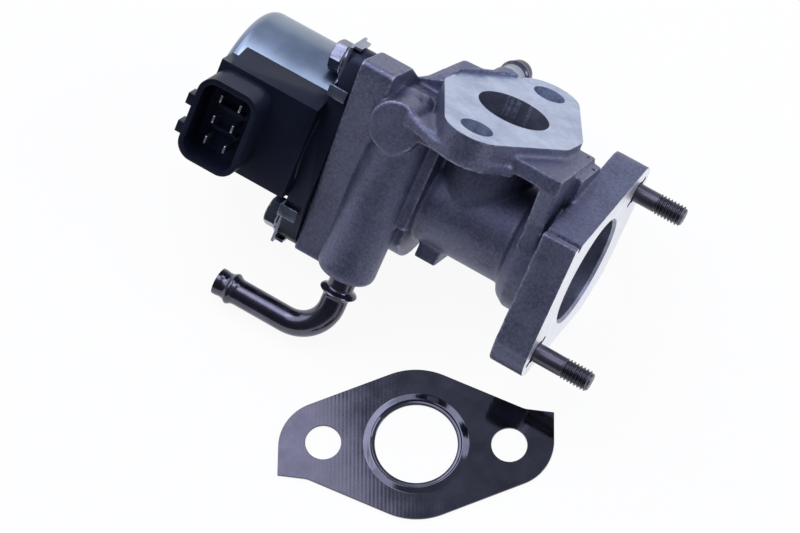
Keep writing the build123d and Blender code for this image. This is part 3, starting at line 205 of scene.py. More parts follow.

# %% [markdown]
# ## Cast aluminium
# The body is a high-pressure die casting of aluminium-silicon alloy, shot blasted after trimming.
# Blasting leaves a pebbled skin, 0.2 to 0.5 mm across, that scatters light, so the metal looks grey
# and nearly matt. The finish paints highlights on the edges and shade into the corners: the casting
# carries an attribute named edge, below 0 in corners and above 0 on edges, that this finish reads.
# A finish could guess that with a Bevel or Pointiness node, but those vary from renderer to renderer.

# %% Cast aluminium finish
cast_metal, tree, shader, at = start_material(
    "die_cast_aluminium_shot_blasted", Metallic=0.85, Roughness=0.46)
pebbles = grain(tree, at, 0.45, 4.0, 0.7)
patches = grain(tree, at, 8.0, 5.0, 0.62)
speckle = grain(tree, at, 0.8, 2.0, 0.6)
edge = add_node(tree, "ShaderNodeAttribute", attribute_name="edge").outputs["Fac"]
uneven = add_node(tree, "ShaderNodeMapRange", {"Value": speckle, "From Min": NOISE_LOW,
                                               "From Max": NOISE_HIGH, "To Min": 0.5, "To Max": 1.3})
# The edge attribute, made uneven by speckle, leads a painted highlight along convex edges.
painted_edge_highlight = add_node(tree, "ShaderNodeMath", {0: edge, 1: uneven.outputs["Result"]},
                  operation="MULTIPLY").outputs["Value"]
colour = linear("53556b")
# Layers in turn: random patches, random speckle, the painted highlight on edges (bcc1d6) and painted shade
# in the corners (22232e).
for layer, start, end, most, tint in ((patches, NOISE_LOW, NOISE_HIGH, 1.0, "6b6e87"),
                                      (speckle, NOISE_LOW, NOISE_HIGH, 0.45, "9094ab"),
                                      (painted_edge_highlight, 0.06, 0.22, 0.8, "bcc1d6"),
                                      (edge, -0.04, -0.22, 0.6, "22232e")):
    share = add_node(tree, "ShaderNodeMapRange", {"Value": layer, "From Min": start, "From Max": end,
                                                  "To Max": most}).outputs["Result"]
    colour = add_node(tree, "ShaderNodeMix", {"Factor": share, "A": colour, "B": linear(tint)},
                      data_type="RGBA").outputs["Result"]
tree.links.new(colour, shader.inputs["Base Color"])
dress(tree, shader, gloss=(patches, 0.4, 0.54), relief=(pebbles, 0.12))
print("made", cast_metal.name)

# %% [markdown]
# ## Machined aluminium
# The flange faces, bolt holes and bores are cut after casting. A fly cutter leaves the outlet face
# bright, the inlet face is belt ground and has short random scuffs 1 to 3 mm long, and a boring bar
# leaves fine rings. All three are the same clean metal, so they differ only in tone and marks.

# %% Machined aluminium finishes
milled_metal, tree, shader, at = start_material("fly_cut_aluminium_face", Metallic=0.9, Roughness=0.4)
marks = grain(tree, at, 0.5, 2.0, 0.5, (1, 6, 1))
clouds = grain(tree, at, 5.0, 5.0, 0.65)
dress(tree, shader, (clouds, "e6e8f2", "fafafd"), (clouds, 0.34, 0.48), (marks, 0.01))

ground_metal, tree, shader, at = start_material("belt_ground_aluminium_face", Metallic=0.9,
                                                Roughness=0.4)
scuffs = grain(tree, at, 1.6, 5.0, 0.75, (1, 2.5, 1))
tone = 0.0
for layer, most in ((scuffs, 0.55), (grain(tree, at, 9.0, 4.0, 0.6), 0.45)):
    share = add_node(tree, "ShaderNodeMapRange", {"Value": layer, "From Min": NOISE_LOW,
                                                  "From Max": NOISE_HIGH, "To Max": most}).outputs["Result"]
    tone = add_node(tree, "ShaderNodeMath", {0: tone, 1: share}, operation="ADD").outputs["Value"]
dress(tree, shader, (tone, "8f9bb4", "c3cce0", 0.1, 0.75), (scuffs, 0.3, 0.52), (scuffs, 0.02))

bore_metal, tree, shader, at = start_material("bored_aluminium_wall", Metallic=0.9, Roughness=0.4)
rings = grain(tree, at, 0.6, 2.0, 0.5, (5, 1, 1))
dress(tree, shader, (grain(tree, at, 4.0, 3.0, 0.6), "787b8e", "9da1b5"), relief=(rings, 0.005))
print("made", milled_metal.name, ground_metal.name, "and", bore_metal.name)

# %% [markdown]
# ## Black glass-filled nylon
# The motor flange, connector box and shroud are injection moulded in one shot. The mould is spark
# eroded, which gives an even, very fine texture and a soft bluish sheen instead of a mirror gloss.

# %% Moulded nylon finish
black_nylon, tree, shader, at = start_material("moulded_black_nylon", Roughness=0.4, IOR=1.53,
                                               Specular_Tint=linear("c4d0f5"))
flow = grain(tree, at, 12.0, 3.0, 0.5)
spark_pits = grain(tree, at, 0.3, 2.0, 0.6)
dress(tree, shader, (flow, "090c16", "0f1424"), (flow, 0.34, 0.46), (spark_pits, 0.015))
print("made", black_nylon.name)

# %% [markdown]
# ## Plated and plain steels
# The can is deep-drawn steel with a blue-white zinc passivation, smooth enough to show a soft
# reflection. The bolts and clips are bright zinc, the elbow is dark nickel, the studs black oxide.
# One function builds these: they differ in colour, gloss and the size of their fine marks.

# %% Steel finishes


def steel(name, dark, light, roughness, mark_mm=0.5, mark_depth_mm=0.01, stretch=(1, 1, 1),
          cloud_mm=7.0):
    """A worked metal: cloudy colour, slight gloss changes and fine marks of a real size."""
    material, tree, shader, at = start_material(name, Metallic=1.0, Roughness=roughness)
    clouds = grain(tree, at, cloud_mm)
    marks = grain(tree, at, mark_mm, 2.0, 0.5, stretch)
    dress(tree, shader, (clouds, dark, light), (clouds, roughness * 0.85, roughness * 1.2),
          (marks, mark_depth_mm))
    return material


can_steel = steel("drawn_steel_blue_passivated", "788596", "8e9bae", 0.3, 0.8, 0.006, (0.3, 1, 1), 14.0)
bright_zinc = steel("bright_zinc_plated_steel", "636777", "9094a4", 0.24, 0.6, 0.001)
clip_zinc = steel("bright_zinc_spring_sheet", "7f8699", "b4bacb", 0.25, 0.6, 0.001)
dark_nickel = steel("dark_nickel_plated_tube", "4d4c59", "666572", 0.19, 1.4, 0.001)
rear_zinc = steel("blue_zinc_plated_tube", "8b95a8", "b8c3d2", 0.3, 0.8, 0.01)
black_oxide = steel("black_oxide_steel", "56555f", "6c6b75", 0.32, 0.5, 0.012)
hard_iron = steel("ground_hard_iron", "55555e", "6c6c75", 0.35, 0.3, 0.01)
stainless = steel("pressed_stainless_sheet", "7c7c82", "96969c", 0.3, 0.5, 0.01)
yoke_steel = steel("stamped_yoke_steel", "6a6a70", "85858b", 0.4, 0.4, 0.01)
bearing_steel = steel("ground_bearing_steel", "9c9ca2", "b6b6bc", 0.15, 0.3, 0.003)
ball_steel = steel("lapped_ball_steel", "b0b0b6", "c8c8ce", 0.07, 0.3, 0.001)
spring_steel = steel("drawn_spring_wire", "4b4b52", "66666d", 0.32, 0.5, 0.01, (4, 1, 1))
guide_steel = steel("sintered_guide_steel", "6f6f74", "8a8a90", 0.5, 0.3, 0.03)
screw_steel = steel("rolled_screw_steel", "7d7e84", "9b9ca2", 0.28, 0.4, 0.01)
stem_steel = steel("ground_valve_stem", "8b8b90", "a5a5ab", 0.2, 0.3, 0.004, (6, 1, 1))
valve_steel = steel("turned_heat_resistant_steel", "5b5652", "7a736d", 0.36, 0.3, 0.01)
tin = steel("tin_plated_brass_blade", "c9ccd4", "eceff6", 0.25, 0.4, 0.0005)
brass = steel("turned_brass", "a67f35", "c29a4c", 0.28, 0.3, 0.008)
bronze = steel("oil_filled_sintered_bronze", "735a35", "8f7145", 0.5, 0.25, 0.03)
print("made the metal finishes")

# %% [markdown]
# ## Gasket coating
# The gasket is thin steel with a baked black coating, rolled on so that it keeps fine straight lines
# about 1.05 mm apart across the sheet. The coating is glossy, so a lamp shows in it as a broad
# violet-grey sheen, broken up by the lines. The lines turn with the gasket, so a Mapping node turns
# the wave to the sheet's own direction, and noise makes them fade in and out.

# %% Gasket finish
LINE_PITCH = 1.05
LINE_TURN = math.radians(31.2)
# A wave texture repeats every pi/10 of its scaled coordinate.
WAVE_LENGTH = math.pi / 10
gasket_coat, tree, shader, at = start_material("baked_black_gasket_coating", Metallic=1.0,
                                               Roughness=0.08)
turned = add_node(tree, "ShaderNodeMapping", {"Vector": at, "Rotation": (0, 0, -LINE_TURN)})
lines = add_node(tree, "ShaderNodeTexWave", {"Vector": turned.outputs["Vector"],
                                             "Scale": WAVE_LENGTH / (LINE_PITCH * MM)},
                 bands_direction="X")
fading = add_node(tree, "ShaderNodeMapRange", {"Value": grain(tree, at, 9.0, 3.0, 0.6),
                                               "From Min": NOISE_LOW, "From Max": NOISE_HIGH,
                                               "To Min": 0.15, "To Max": 1.0})
faint = add_node(tree, "ShaderNodeMath", {0: lines.outputs["Fac"], 1: fading.outputs["Result"]},
                 operation="MULTIPLY")
clouds = grain(tree, at, 6.0)
dress(tree, shader, (clouds, "474751", "53535d"), (clouds, 0.06, 0.1),
      (faint.outputs["Value"], 0.0018))
print("made", gasket_coat.name)

# %% [markdown]
# ## Rubber, ferrite, bobbin plastic and copper winding
# These sit inside the motor and show only when it is taken apart, but each is still made from what
# it is: matt nitrile rubber, grainy sintered ferrite, cream glass-filled plastic, and a winding of
# 0.4 mm enamelled wire whose turns lie side by side along the stem axis.

# %% Finishes of the inner pieces


def dull(name, dark, light, roughness, grain_mm, grain_depth_mm):
    """A matt solid: two close tones and a fine grain."""
    material, tree, shader, at = start_material(name, Roughness=roughness)
    dress(tree, shader, (grain(tree, at, 5.0), dark, light, 0.35, 0.65),
          relief=(grain(tree, at, grain_mm, 3.0), grain_depth_mm))
    return material


rubber = dull("moulded_nitrile_rubber", "0c0c0d", "161617", 0.7, 0.3, 0.02)
ferrite = dull("sintered_ferrite", "1a1a1d", "27272b", 0.55, 0.25, 0.03)
bobbin_plastic = dull("moulded_cream_bobbin_plastic", "b9b09a", "c9c1ad", 0.45, 0.4, 0.01)
sleeve_plastic = dull("moulded_dark_sleeve_plastic", "18181b", "232327", 0.45, 0.4, 0.01)
cage_plastic = dull("moulded_brown_cage_plastic", "6b5533", "7d6540", 0.45, 0.4, 0.01)

WIRE_ON_COIL = 0.4
winding, tree, shader, at = start_material("enamelled_copper_winding", Metallic=0.9, Roughness=0.35)
turns = add_node(tree, "ShaderNodeTexWave", {"Vector": at, "Scale": WAVE_LENGTH / (WIRE_ON_COIL * MM)},
                 bands_direction="X").outputs["Fac"]
# The colour follows the wave of the relief: painted shade in the grooves between turns and a painted
# highlight on their crowns.
dress(tree, shader, (turns, "5a2810", "a8562a", 0.1, 0.9), relief=(turns, 0.15))
print("made the inner finishes")

# %% [markdown]
# ## Tools for working on a piece's mesh
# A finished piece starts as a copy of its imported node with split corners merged. The casting's
# rounded edges come from treating that copy as the pattern: it is grown a little, voxelised and
# smoothed, which rounds every edge as a mould would, and the machined faces are then cut flat again.
# Hand-made fillets would need a chain of edges for each; this rounds what a caster rounds.

# %% Objects and their meshes
SAME_PLACE = 1e-7


def new_object(name, data):
    """A linked object for a mesh."""
    made = bpy.data.objects.new(name, data)
    bpy.context.scene.collection.objects.link(made)
    return made


def mesh_object(name, work):
    """A linked object that takes over a mesh under construction."""
    data = bpy.data.meshes.new(name)
    work.to_mesh(data)
    work.free()
    return new_object(name, data)


@contextmanager
def editing(obj):
    """Opens an object's mesh for changes and writes them back."""
    work = bmesh.new()
    work.from_mesh(obj.data)
    yield work
    work.to_mesh(obj.data)
    work.free()


def merged_copy(node_name, name):
    """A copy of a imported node's mesh in the frame of the whole part, with its split vertices merged."""
    source = nodes[node_name]
    bpy.context.view_layer.update()
    made = new_object(name, source.data.copy())
    made.data.name = name
    made.data.transform(source.matrix_world)
    made.data.materials.clear()
    with editing(made) as work:
        bmesh.ops.remove_doubles(work, verts=work.verts, dist=SAME_PLACE)
        bmesh.ops.recalc_face_normals(work, faces=work.faces)
    return made


print("object helpers ready")

# %% Bake, cut and join


def bake(obj):
    """The object's modifiers applied to its mesh."""
    graph = bpy.context.evaluated_depsgraph_get()
    result = bpy.data.meshes.new_from_object(obj.evaluated_get(graph), depsgraph=graph)
    result.name = obj.name
    obj.modifiers.clear()
    obj.data = result
    return obj


def subtract(obj, cutter):
    """A quick exact cut for closed meshes, which uses the cutter up."""
    step = obj.modifiers.new("cut", "BOOLEAN")
    step.operation = "DIFFERENCE"
    step.object = cutter
    step.solver = "MANIFOLD"
    bake(obj)
    bpy.data.objects.remove(cutter)


def join(objects, name):
    """One object from several, which it uses up."""
    work = bmesh.new()
    for item in objects:
        work.from_mesh(item.data)
        bpy.data.objects.remove(item)
    return mesh_object(name, work)


print("cutting helpers ready")

# %% Simple solids


def cylinder(name, radius_mm, length_mm, matrix, sides):
    """A closed cylinder along the matrix's Z, starting at its origin."""
    work = bmesh.new()
    bmesh.ops.create_cone(work, cap_ends=True, segments=sides, radius1=radius_mm * MM,
                          radius2=radius_mm * MM, depth=length_mm * MM,
                          matrix=matrix @ Matrix.Translation((0, 0, length_mm * MM / 2)))
    return mesh_object(name, work)


def block(name, low, high, matrix):
    """A closed box from two corners in millimetres in the matrix's frame."""
    centre = (Vector(low) + Vector(high)) / 2 * MM
    size = (Vector(high) - Vector(low)) * MM
    work = bmesh.new()
    bmesh.ops.create_cube(work, size=1, matrix=matrix @ Matrix.Translation(centre)
                          @ Matrix.Diagonal((*size, 1)))
    return mesh_object(name, work)


def full_turn(sides):
    """The angles of one turn in equal steps."""
    return [2 * math.pi * step / sides for step in range(sides)]


def skin_rings(name, rings, closed):
    """A mesh skinned over rings of places; a closed one also joins the last ring to the first."""
    work = bmesh.new()
    rows = [[work.verts.new(spot) for spot in ring] for ring in rings]
    for low, high in zip(rows, rows[1:] + (rows[:1] if closed else [])):
        for step in range(len(low)):
            after = (step + 1) % len(low)
            work.faces.new((low[step], low[after], high[after], high[step]))
    bmesh.ops.remove_doubles(work, verts=work.verts, dist=SAME_PLACE)
    bmesh.ops.dissolve_degenerate(work, edges=work.edges, dist=SAME_PLACE / 10)
    bmesh.ops.recalc_face_normals(work, faces=work.faces)
    return mesh_object(name, work)


def lathe(name, profile, matrix, sides):
    """A solid of revolution about the matrix's Z from (radius, height) points in millimetres."""
    rings = [[matrix @ Vector((radius * math.cos(angle) * MM, radius * math.sin(angle) * MM, height * MM))
              for angle in full_turn(sides)] for radius, height in profile]
    return skin_rings(name, rings, closed=True)


print("solids ready")

# %% Shading and handing over a piece


def smooth_by_angle(obj, degrees):
    """Smooth shading with sharp edges kept above an angle."""
    limit = math.radians(degrees)
    with editing(obj) as work:
        for face in work.faces:
            face.smooth = True
        for edge in work.edges:
            edge.smooth = len(edge.link_faces) != 2 or edge.calc_face_angle(0) < limit
    return obj


def face_outwards(obj):
    """Turns every face of a closed mesh outwards."""
    with editing(obj) as work:
        bmesh.ops.recalc_face_normals(work, faces=work.faces)
    return obj


def coat(obj, *finishes):
    """Gives an object these materials instead of what it has."""
    obj.data.materials.clear()
    for finish in finishes:
        obj.data.materials.append(finish)


def finish_piece(obj, body, slot_name, *replaced):
    """The piece rides its body and stands for its nodes."""
    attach(obj, body)
    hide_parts(*replaced)
    print(obj.name, "tris", sum(len(p.vertices) - 2 for p in obj.data.polygons))


print("shading helpers ready")

# %% [markdown]
# ## The raw casting
# The housing leaves the die with every edge rounded, then its faces are milled and its passages
# bored. This follows the same order. The machined faces of the copy are pushed out by the milling
# allowance, its openings are plugged, the hump beside the rear pipe gets its slanting faces, the
# small lumps that the die leaves are added, and a voxel skin is smoothed until its edges have a
# radius near 1 mm. A subdivision cage would need clean quads all over a shape made of many lumps;
# voxels accept any closed shape. The voxels are laid along the inlet flange, because a flat face
# that lies along them stays flat.

# %% Sizes of the casting
MILLING_ALLOWANCE = 1.5
CAST_VOXEL = 0.5
CAST_PASSES = 5
ON_FACE = 1e-6
MOTOR_FACE_X = -73.8
MOUTH_RADIUS = 16.0
MOUTH_DEPTH = 13.0
STUD_PLACES = (27.0, -27.0)
INLET_HEIGHT = 30.15
INLET_X = -36.3
PORT_RADIUS = 10.25
INLET_HOLES = ((-34.34, 24.92), (-38.26, -24.92))
INLET_HOLE_RADIUS = 4.6
MOTOR_BOLTS = ((-9.6, 24.9), (-9.6, -24.9), (27.35, 0.0))
PIPE_RADIUS = 3.7
ELBOW_X = -56.2
ELBOW_ACROSS = -16.3
NIPPLE_X = -47.2
NIPPLE_UP = 27.0
NIPPLE_START = 24.4
STEM = Matrix(((0, 0, 1, 0), (1, 0, 0, 0), (0, 1, 0, 0), (0, 0, 0, 1)))
inlet_normal = INLET.to_3x3() @ Vector((0, 0, 1))
inlet_across = INLET.to_3x3() @ Vector((0, 1, 0))
motor_centres = [place(MOTOR, 0, across, upright) / MM for across, upright in MOTOR_BOLTS]
print("motor bolts at", [[round(v, 2) for v in centre[1:]] for centre in motor_centres])

# %% Shapes placed along the stem or on the inlet side


def stem_rod(radius, x_low, x_high, y=0.0, z=0.0):
    """A round rod along the stem direction."""
    start = Matrix.Translation((x_low * MM, y * MM, z * MM)) @ STEM
    return cylinder("rod", radius, x_high - x_low, start, 64)


def inlet_rod(radius, length, x, across, up, sides=64, direction=(0, 0, 1)):
    """A round rod on the inlet side that starts at a point and runs in a direction of that side."""
    z = (INLET.to_3x3() @ Vector(direction)).normalized()
    side = Vector((1, 0, 0)).cross(z).normalized()
    turned = Matrix((side, z.cross(side), z)).transposed().to_4x4()
    return cylinder("rod", radius, length, Matrix.Translation(place(INLET, x, across, up)) @ turned, sides)


def hull_block(points):
    """The convex hull of points (x, across, up) on the inlet side."""
    work = bmesh.new()
    for point in points:
        work.verts.new(place(INLET, *point))
    bmesh.ops.convex_hull(work, input=work.verts)
    loose = [vert for vert in work.verts if not vert.link_faces]
    bmesh.ops.delete(work, geom=loose, context="VERTS")
    return mesh_object("hull", work)


def prism(points, low_up, high_up):
    """A closed prism from a polygon of (x, across) points between two heights on the inlet side."""
    work = bmesh.new()
    rows = [[work.verts.new(place(INLET, x, across, height)) for x, across in points]
            for height in (low_up, high_up)]
    work.faces.new(rows[0])
    work.faces.new(rows[1][::-1])
    for a in range(len(points)):
        b = (a + 1) % len(points)
        work.faces.new((rows[0][b], rows[0][a], rows[1][a], rows[1][b]))
    bmesh.ops.recalc_face_normals(work, faces=work.faces)
    return mesh_object("prism", work)


def pebble(x, across, up, size):
    """A rounded lump with three radii on the inlet side."""
    work = bmesh.new()
    bmesh.ops.create_icosphere(work, subdivisions=3, radius=MM,
                               matrix=Matrix.Translation(place(INLET, x, across, up)) @ INLET
                               @ Matrix.Diagonal((*size, 1)))
    return mesh_object("lump", work)


def face_prism(obj, height_mm, depth_mm):
    """A prism that stands on the flat face at a height on the inlet side."""
    work = bmesh.new()
    work.from_mesh(obj.data)
    top = [face for face in work.faces if face.normal.dot(inlet_normal) > 0.999
           and abs(face.calc_center_median().dot(inlet_normal) - height_mm * MM) < ON_FACE]
    rim = [INLET.inverted() @ vert.co / MM for vert in {vert for face in top for vert in face.verts}]
    work.free()
    return hull_block([(p.x, p.y, height_mm + lift) for p in rim for lift in (0, depth_mm)])


print("shapes for the casting ready")

# %% Grow the pattern and plug its openings
casting = merged_copy("valve_housing", "cast_housing")
inlet_mill = face_prism(casting, INLET_HEIGHT, 8.0)
for vertex in casting.data.vertices:
    if abs(vertex.co.x) < ON_FACE:
        vertex.co.x += MILLING_ALLOWANCE * MM
    if abs(vertex.co.dot(inlet_normal) - INLET_HEIGHT * MM) < ON_FACE:
        vertex.co += inlet_normal * MILLING_ALLOWANCE * MM

extras = [stem_rod(15.9, -12, MILLING_ALLOWANCE), stem_rod(17.0, MOTOR_FACE_X, -71.5)]
extras += [stem_rod(3.6, -9, MILLING_ALLOWANCE, y) for y in STUD_PLACES]
extras += [stem_rod(3.0, MOTOR_FACE_X, -65.2, c.y, c.z) for c in motor_centres]
extras.append(inlet_rod(11.0, 8.0, INLET_X, 0, 23.65))
extras += [inlet_rod(5.0, 8.5, x, across, 23.15, 48) for x, across in INLET_HOLES]
extras.append(inlet_rod(4.2, 9.0, ELBOW_X, ELBOW_ACROSS, -28.35, 48))
extras.append(inlet_rod(3.95, 8.0, NIPPLE_X, 17.4, NIPPLE_UP, 48, (0, 1, 0)))
print("plugs:", len(extras))

# %% Shape the hump, the skirt and the lumps
HUMP_TOP = ((-64.4, 3.5, 24.0), (-57.7, 15.5, 31.0), (-49.5, 18.3, 30.2), (-49.0, 8.0, 30.2),
            (-56.0, 5.0, 30.2), (-60.0, 2.0, 24.0))
HUMP_CUT = ((-68.0, 2.0), (-64.4, 3.5), (-57.5, 15.5), (-56.0, 19.6), (-56.0, 26.0), (-68.0, 26.0))
HUMP_BASE = 12.0
SKIRT = ((-57.5, -24.6), (-45.5, -31.6), (-41.5, -33.4), (-38.3, -33.9), (-34.6, -33.2), (-31.0, -30.8),
         (-27.2, -24.8), (-25.0, -22.5), (-24.0, -14.0), (-44.0, -14.0), (-57.5, -16.0))
SKIRT_RIB = ((-56.8, -24.8), (-56.8, -23.2), (-45.6, -27.4), (-46.6, -29.4))
LUMPS = ((-60.6, -13.6, 23.3, (4.2, 5.6, 3.4)), (-57.6, -10.2, 23.2, (3.0, 4.0, 2.6)),
         (-56.4, -13.4, 22.4, (2.6, 3.0, 2.6)))
extras += [pebble(*lump) for lump in LUMPS]
extras.append(prism(SKIRT, 21.5, 24.2))
extras.append(block("filler", (-13.0, -10.0, 15.0), (-9.5, 6.4, 25.8), INLET))
extras.append(hull_block([(x, across, up) for x, across, top in HUMP_TOP for up in (HUMP_BASE, top)]))
extras.append(prism(SKIRT_RIB, 23.4, 25.1))
before = len(casting.data.polygons)
subtract(casting, prism(HUMP_CUT, HUMP_BASE, 33.0))
print("hump cut:", before, "to", len(casting.data.polygons), "polygons")

# %% Round the casting


def largest_island(obj):
    """Keeps the connected part with the most faces."""
    with editing(obj) as work:
        unseen, largest = set(work.faces), set()
        while unseen:
            front = {unseen.pop()}
            island = set(front)
            while front:
                front = {near for face in front for edge in face.edges for near in edge.link_faces} & unseen
                unseen -= front
                island |= front
            largest = max(largest, island, key=len)
        bmesh.ops.delete(work, geom=[face for face in work.faces if face not in largest], context="FACES")


def round_off(obj, voxel_mm, passes, grid):
    """Voxel skin laid along the grid frame, then smoothing passes that round its edges."""
    obj.data.transform(grid.inverted())
    skin = obj.modifiers.new("skin", "REMESH")
    skin.mode = "VOXEL"
    skin.voxel_size = voxel_mm * MM
    bake(obj)
    largest_island(obj)
    soften = obj.modifiers.new("soften", "SMOOTH")
    soften.factor = 0.5
    soften.iterations = passes
    bake(obj)
    obj.data.transform(grid)


casting = join([casting] + extras, "cast_housing")
round_off(casting, CAST_VOXEL, CAST_PASSES, INLET)
print("raw casting polygons:", len(casting.data.polygons))

# %% [markdown]
# ## Milling and boring
# A face mill takes the allowance off both flanges, which leaves crisp outlines. The gas passage is
# bored in steps about the stem: the mouth with its 45 degree chamfer, the gas chamber, the bush seat
# and the spring pocket. The inlet port and the two bolt holes run square to the inlet face. Each
# stud hole has a shallow recess, and a punch has staked it on both sides to lock the stud.

# %% Mill and bore the casting
CHAMFER = 0.8
MOUTH_BORE = MOUTH_RADIUS - CHAMFER
GAS_STEPS = ((0, 2.0), (MOUTH_RADIUS + 2.0, 2.0), (MOUTH_RADIUS, 0.0), (MOUTH_BORE, -CHAMFER),
             (MOUTH_BORE, -MOUTH_DEPTH), (12.42, -14.6), (12.42, -20.0), (10.8, -20.0), (10.8, -49.0),
             (8.42, -49.0), (8.42, -50.0), (3.3, -50.0), (3.3, -50.6), (5.62, -50.6), (5.62, -62.8),
             (13.2, -62.8), (13.2, -75.0), (0, -75.0))
PUNCH_OUT = 3.9
PUNCH_HALF = 1.2
DIMPLES = ((-13.5, 3.9, 0.45), (-10.3, 1.4, 0.6))

subtract(casting, block("mill", (0, -60, -60), (10, 60, 60), Matrix.Identity(4)))
subtract(casting, inlet_mill)
subtract(casting, block("mill", (-90, -60, -60), (MOTOR_FACE_X, 60, 60), Matrix.Identity(4)))
subtract(casting, lathe("gas_passage", GAS_STEPS, STEM, 160))
subtract(casting, inlet_rod(PORT_RADIUS, INLET_HEIGHT + 2, INLET_X, 0, 0, 128))
for hole_x, hole_across in INLET_HOLES:
    subtract(casting, inlet_rod(INLET_HOLE_RADIUS, 16.0, hole_x, hole_across, 16.0, 96))
for centre in motor_centres:
    subtract(casting, stem_rod(2.5, -74.5, -65.8, centre.y, centre.z))
for stud_y in STUD_PLACES:
    subtract(casting, stem_rod(3.3, -0.6, 1.0, stud_y))
    for side in (-PUNCH_OUT, PUNCH_OUT):
        subtract(casting, block("punch", (-1.1, side - PUNCH_HALF, -1.0), (1.0, side + PUNCH_HALF, 1.0),
                                Matrix.Translation((0, stud_y * MM, 0))))
subtract(casting, inlet_rod(PIPE_RADIUS, 10.0, ELBOW_X, ELBOW_ACROSS, -29.4))
subtract(casting, inlet_rod(PIPE_RADIUS, 3.6, NIPPLE_X, NIPPLE_START, NIPPLE_UP, direction=(0, 1, 0)))
subtract(casting, block("step", (-10.2, -25.8, 13.2), (0.2, -23.9, 15.5), INLET))
for dimple_x, dimple_across, dimple_radius in DIMPLES:
    subtract(casting, inlet_rod(dimple_radius, 3.0, dimple_x, dimple_across, 25.4, 24))
print("machined casting polygons:", len(casting.data.polygons))

# %% [markdown]
# ## Where each finish lies on the casting
# The finish of a face follows from how it was cut: flat on a flange face, on the wall of a bore, or
# left as cast. The edge attribute is measured on the mesh: how far a point's neighbours lie below its
# tangent plane, which is positive on an edge and negative in a corner.

# %% Paint the casting
ON_WALL = 0.06
PORT_START = 12


def mark_edges(obj, passes=2):
    """Stores how convex the surface is at each point as the attribute edge."""
    work = bmesh.new()
    work.from_mesh(obj.data)
    work.normal_update()
    value = []
    for vert in work.verts:
        near = [edge.other_vert(vert) for edge in vert.link_edges]
        slopes = [-(other.co - vert.co).normalized().dot(vert.normal) for other in near]
        value.append(sum(slopes) / max(1, len(slopes)))
    for _ in range(passes):
        value = [(value[v.index] + sum(value[e.other_vert(v).index] for e in v.link_edges))
                 / (1 + len(v.link_edges)) for v in work.verts]
    work.free()
    layer = obj.data.attributes.new("edge", "FLOAT", "POINT")
    layer.data.foreach_set("value", value)


def casting_finish(centre, facing):
    """The finish of a face of the casting from its place in millimetres and its direction."""
    upright, across = centre.dot(inlet_normal), centre.dot(inlet_across)
    port_distance = math.hypot(centre.x - INLET_X, across)
    hole_distances = [math.hypot(centre.x - x, across - y) for x, y in INLET_HOLES]
    in_mouth = (math.hypot(centre.y, centre.z) < MOUTH_RADIUS + 0.1
                and centre.x > -MOUTH_DEPTH - 0.2)
    in_port = abs(port_distance - PORT_RADIUS) < ON_WALL and upright > PORT_START
    if facing.x > 0.99 and centre.x > -0.05:
        return milled_metal
    if facing.dot(inlet_normal) > 0.99 and abs(upright - INLET_HEIGHT) < 0.02:
        return ground_metal
    if in_mouth or in_port:
        return bore_metal
    if any(abs(distance - INLET_HOLE_RADIUS) < ON_WALL for distance in hole_distances):
        return ground_metal
    return cast_metal


casting_finishes = [cast_metal, milled_metal, bore_metal, ground_metal]
mark_edges(casting)
coat(casting, *casting_finishes)
for face in casting.data.polygons:
    face.material_index = casting_finishes.index(casting_finish(face.center / MM, face.normal))
smooth_by_angle(casting, 38)
finish_piece(casting, "valve", "cast_alloy", "valve_housing")

# %% [markdown]
# ## Geometry Nodes helpers
# A node tree is the way to make what repeats or follows a rule: its sizes stay named inputs, and a
# change of one number remakes the whole shape. One function opens a tree with its named inputs, one
# ends it, and one runs it and keeps the result as a plain mesh, because instances and live modifiers
# don't survive an export.

# %% Node tree helpers
SOCKETS = {float: "NodeSocketFloat", int: "NodeSocketInt", bpy.types.Material: "NodeSocketMaterial",
           bpy.types.Object: "NodeSocketObject"}


def start_tree(name, **inputs):
    """A Geometry Nodes tree with named inputs; gives the tree and its inputs' sockets by name."""
    tree = bpy.data.node_groups.new(name, "GeometryNodeTree")
    tree.interface.new_socket("Geometry", in_out="INPUT", socket_type="NodeSocketGeometry")
    for label, value in inputs.items():
        socket = tree.interface.new_socket(label, in_out="INPUT", socket_type=SOCKETS[type(value)])
        socket.default_value = value
    tree.interface.new_socket("Geometry", in_out="OUTPUT", socket_type="NodeSocketGeometry")
    entry = add_node(tree, "NodeGroupInput")
    return tree, {socket.name: socket for socket in entry.outputs if socket.name}


def end_tree(tree, geometry, material):
    """Ends a tree in Realize Instances and Set Material."""
    real = add_node(tree, "GeometryNodeRealizeInstances", {0: geometry})
    dressed = add_node(tree, "GeometryNodeSetMaterial", {"Geometry": real.outputs[0],
                                                         "Material": material})
    add_node(tree, "NodeGroupOutput", {0: dressed.outputs[0]})


def run_tree(obj, tree, **values):
    """Runs the tree on an object and keeps the result as its plain mesh."""
    step = obj.modifiers.new("nodes", "NODES")
    step.node_group = tree
    for item in tree.interface.items_tree:
        if item.in_out == "INPUT" and item.name in values:
            step[item.identifier] = values[item.name]
    return bake(obj)


def points_object(name, points, joined=True):
    """A mesh of points in millimetres, joined into a line or loose."""
    data = bpy.data.meshes.new(name)
    lines = [(i, i + 1) for i in range(len(points) - 1)] if joined else []
    data.from_pydata([Vector(point) * MM for point in points], lines, [])
    return new_object(name, data)


print("node tree helpers ready")

# %% [markdown]
# ## Threaded studs
# Each stud is an M6: a buried end, a plain shank and 8.6 mm of rolled thread that ends in a shallow
# dish. A thread can be a Screw modifier on a tooth profile, but its ends stay ragged. Here a flat grid
# is rolled into a cylinder whose radius is a sum of its angle and height, so that the thread runs out
# cleanly into the shank and the chamfer. Each line of the loop below is one step of that sum: the
# name of its result, the operation and its terms.

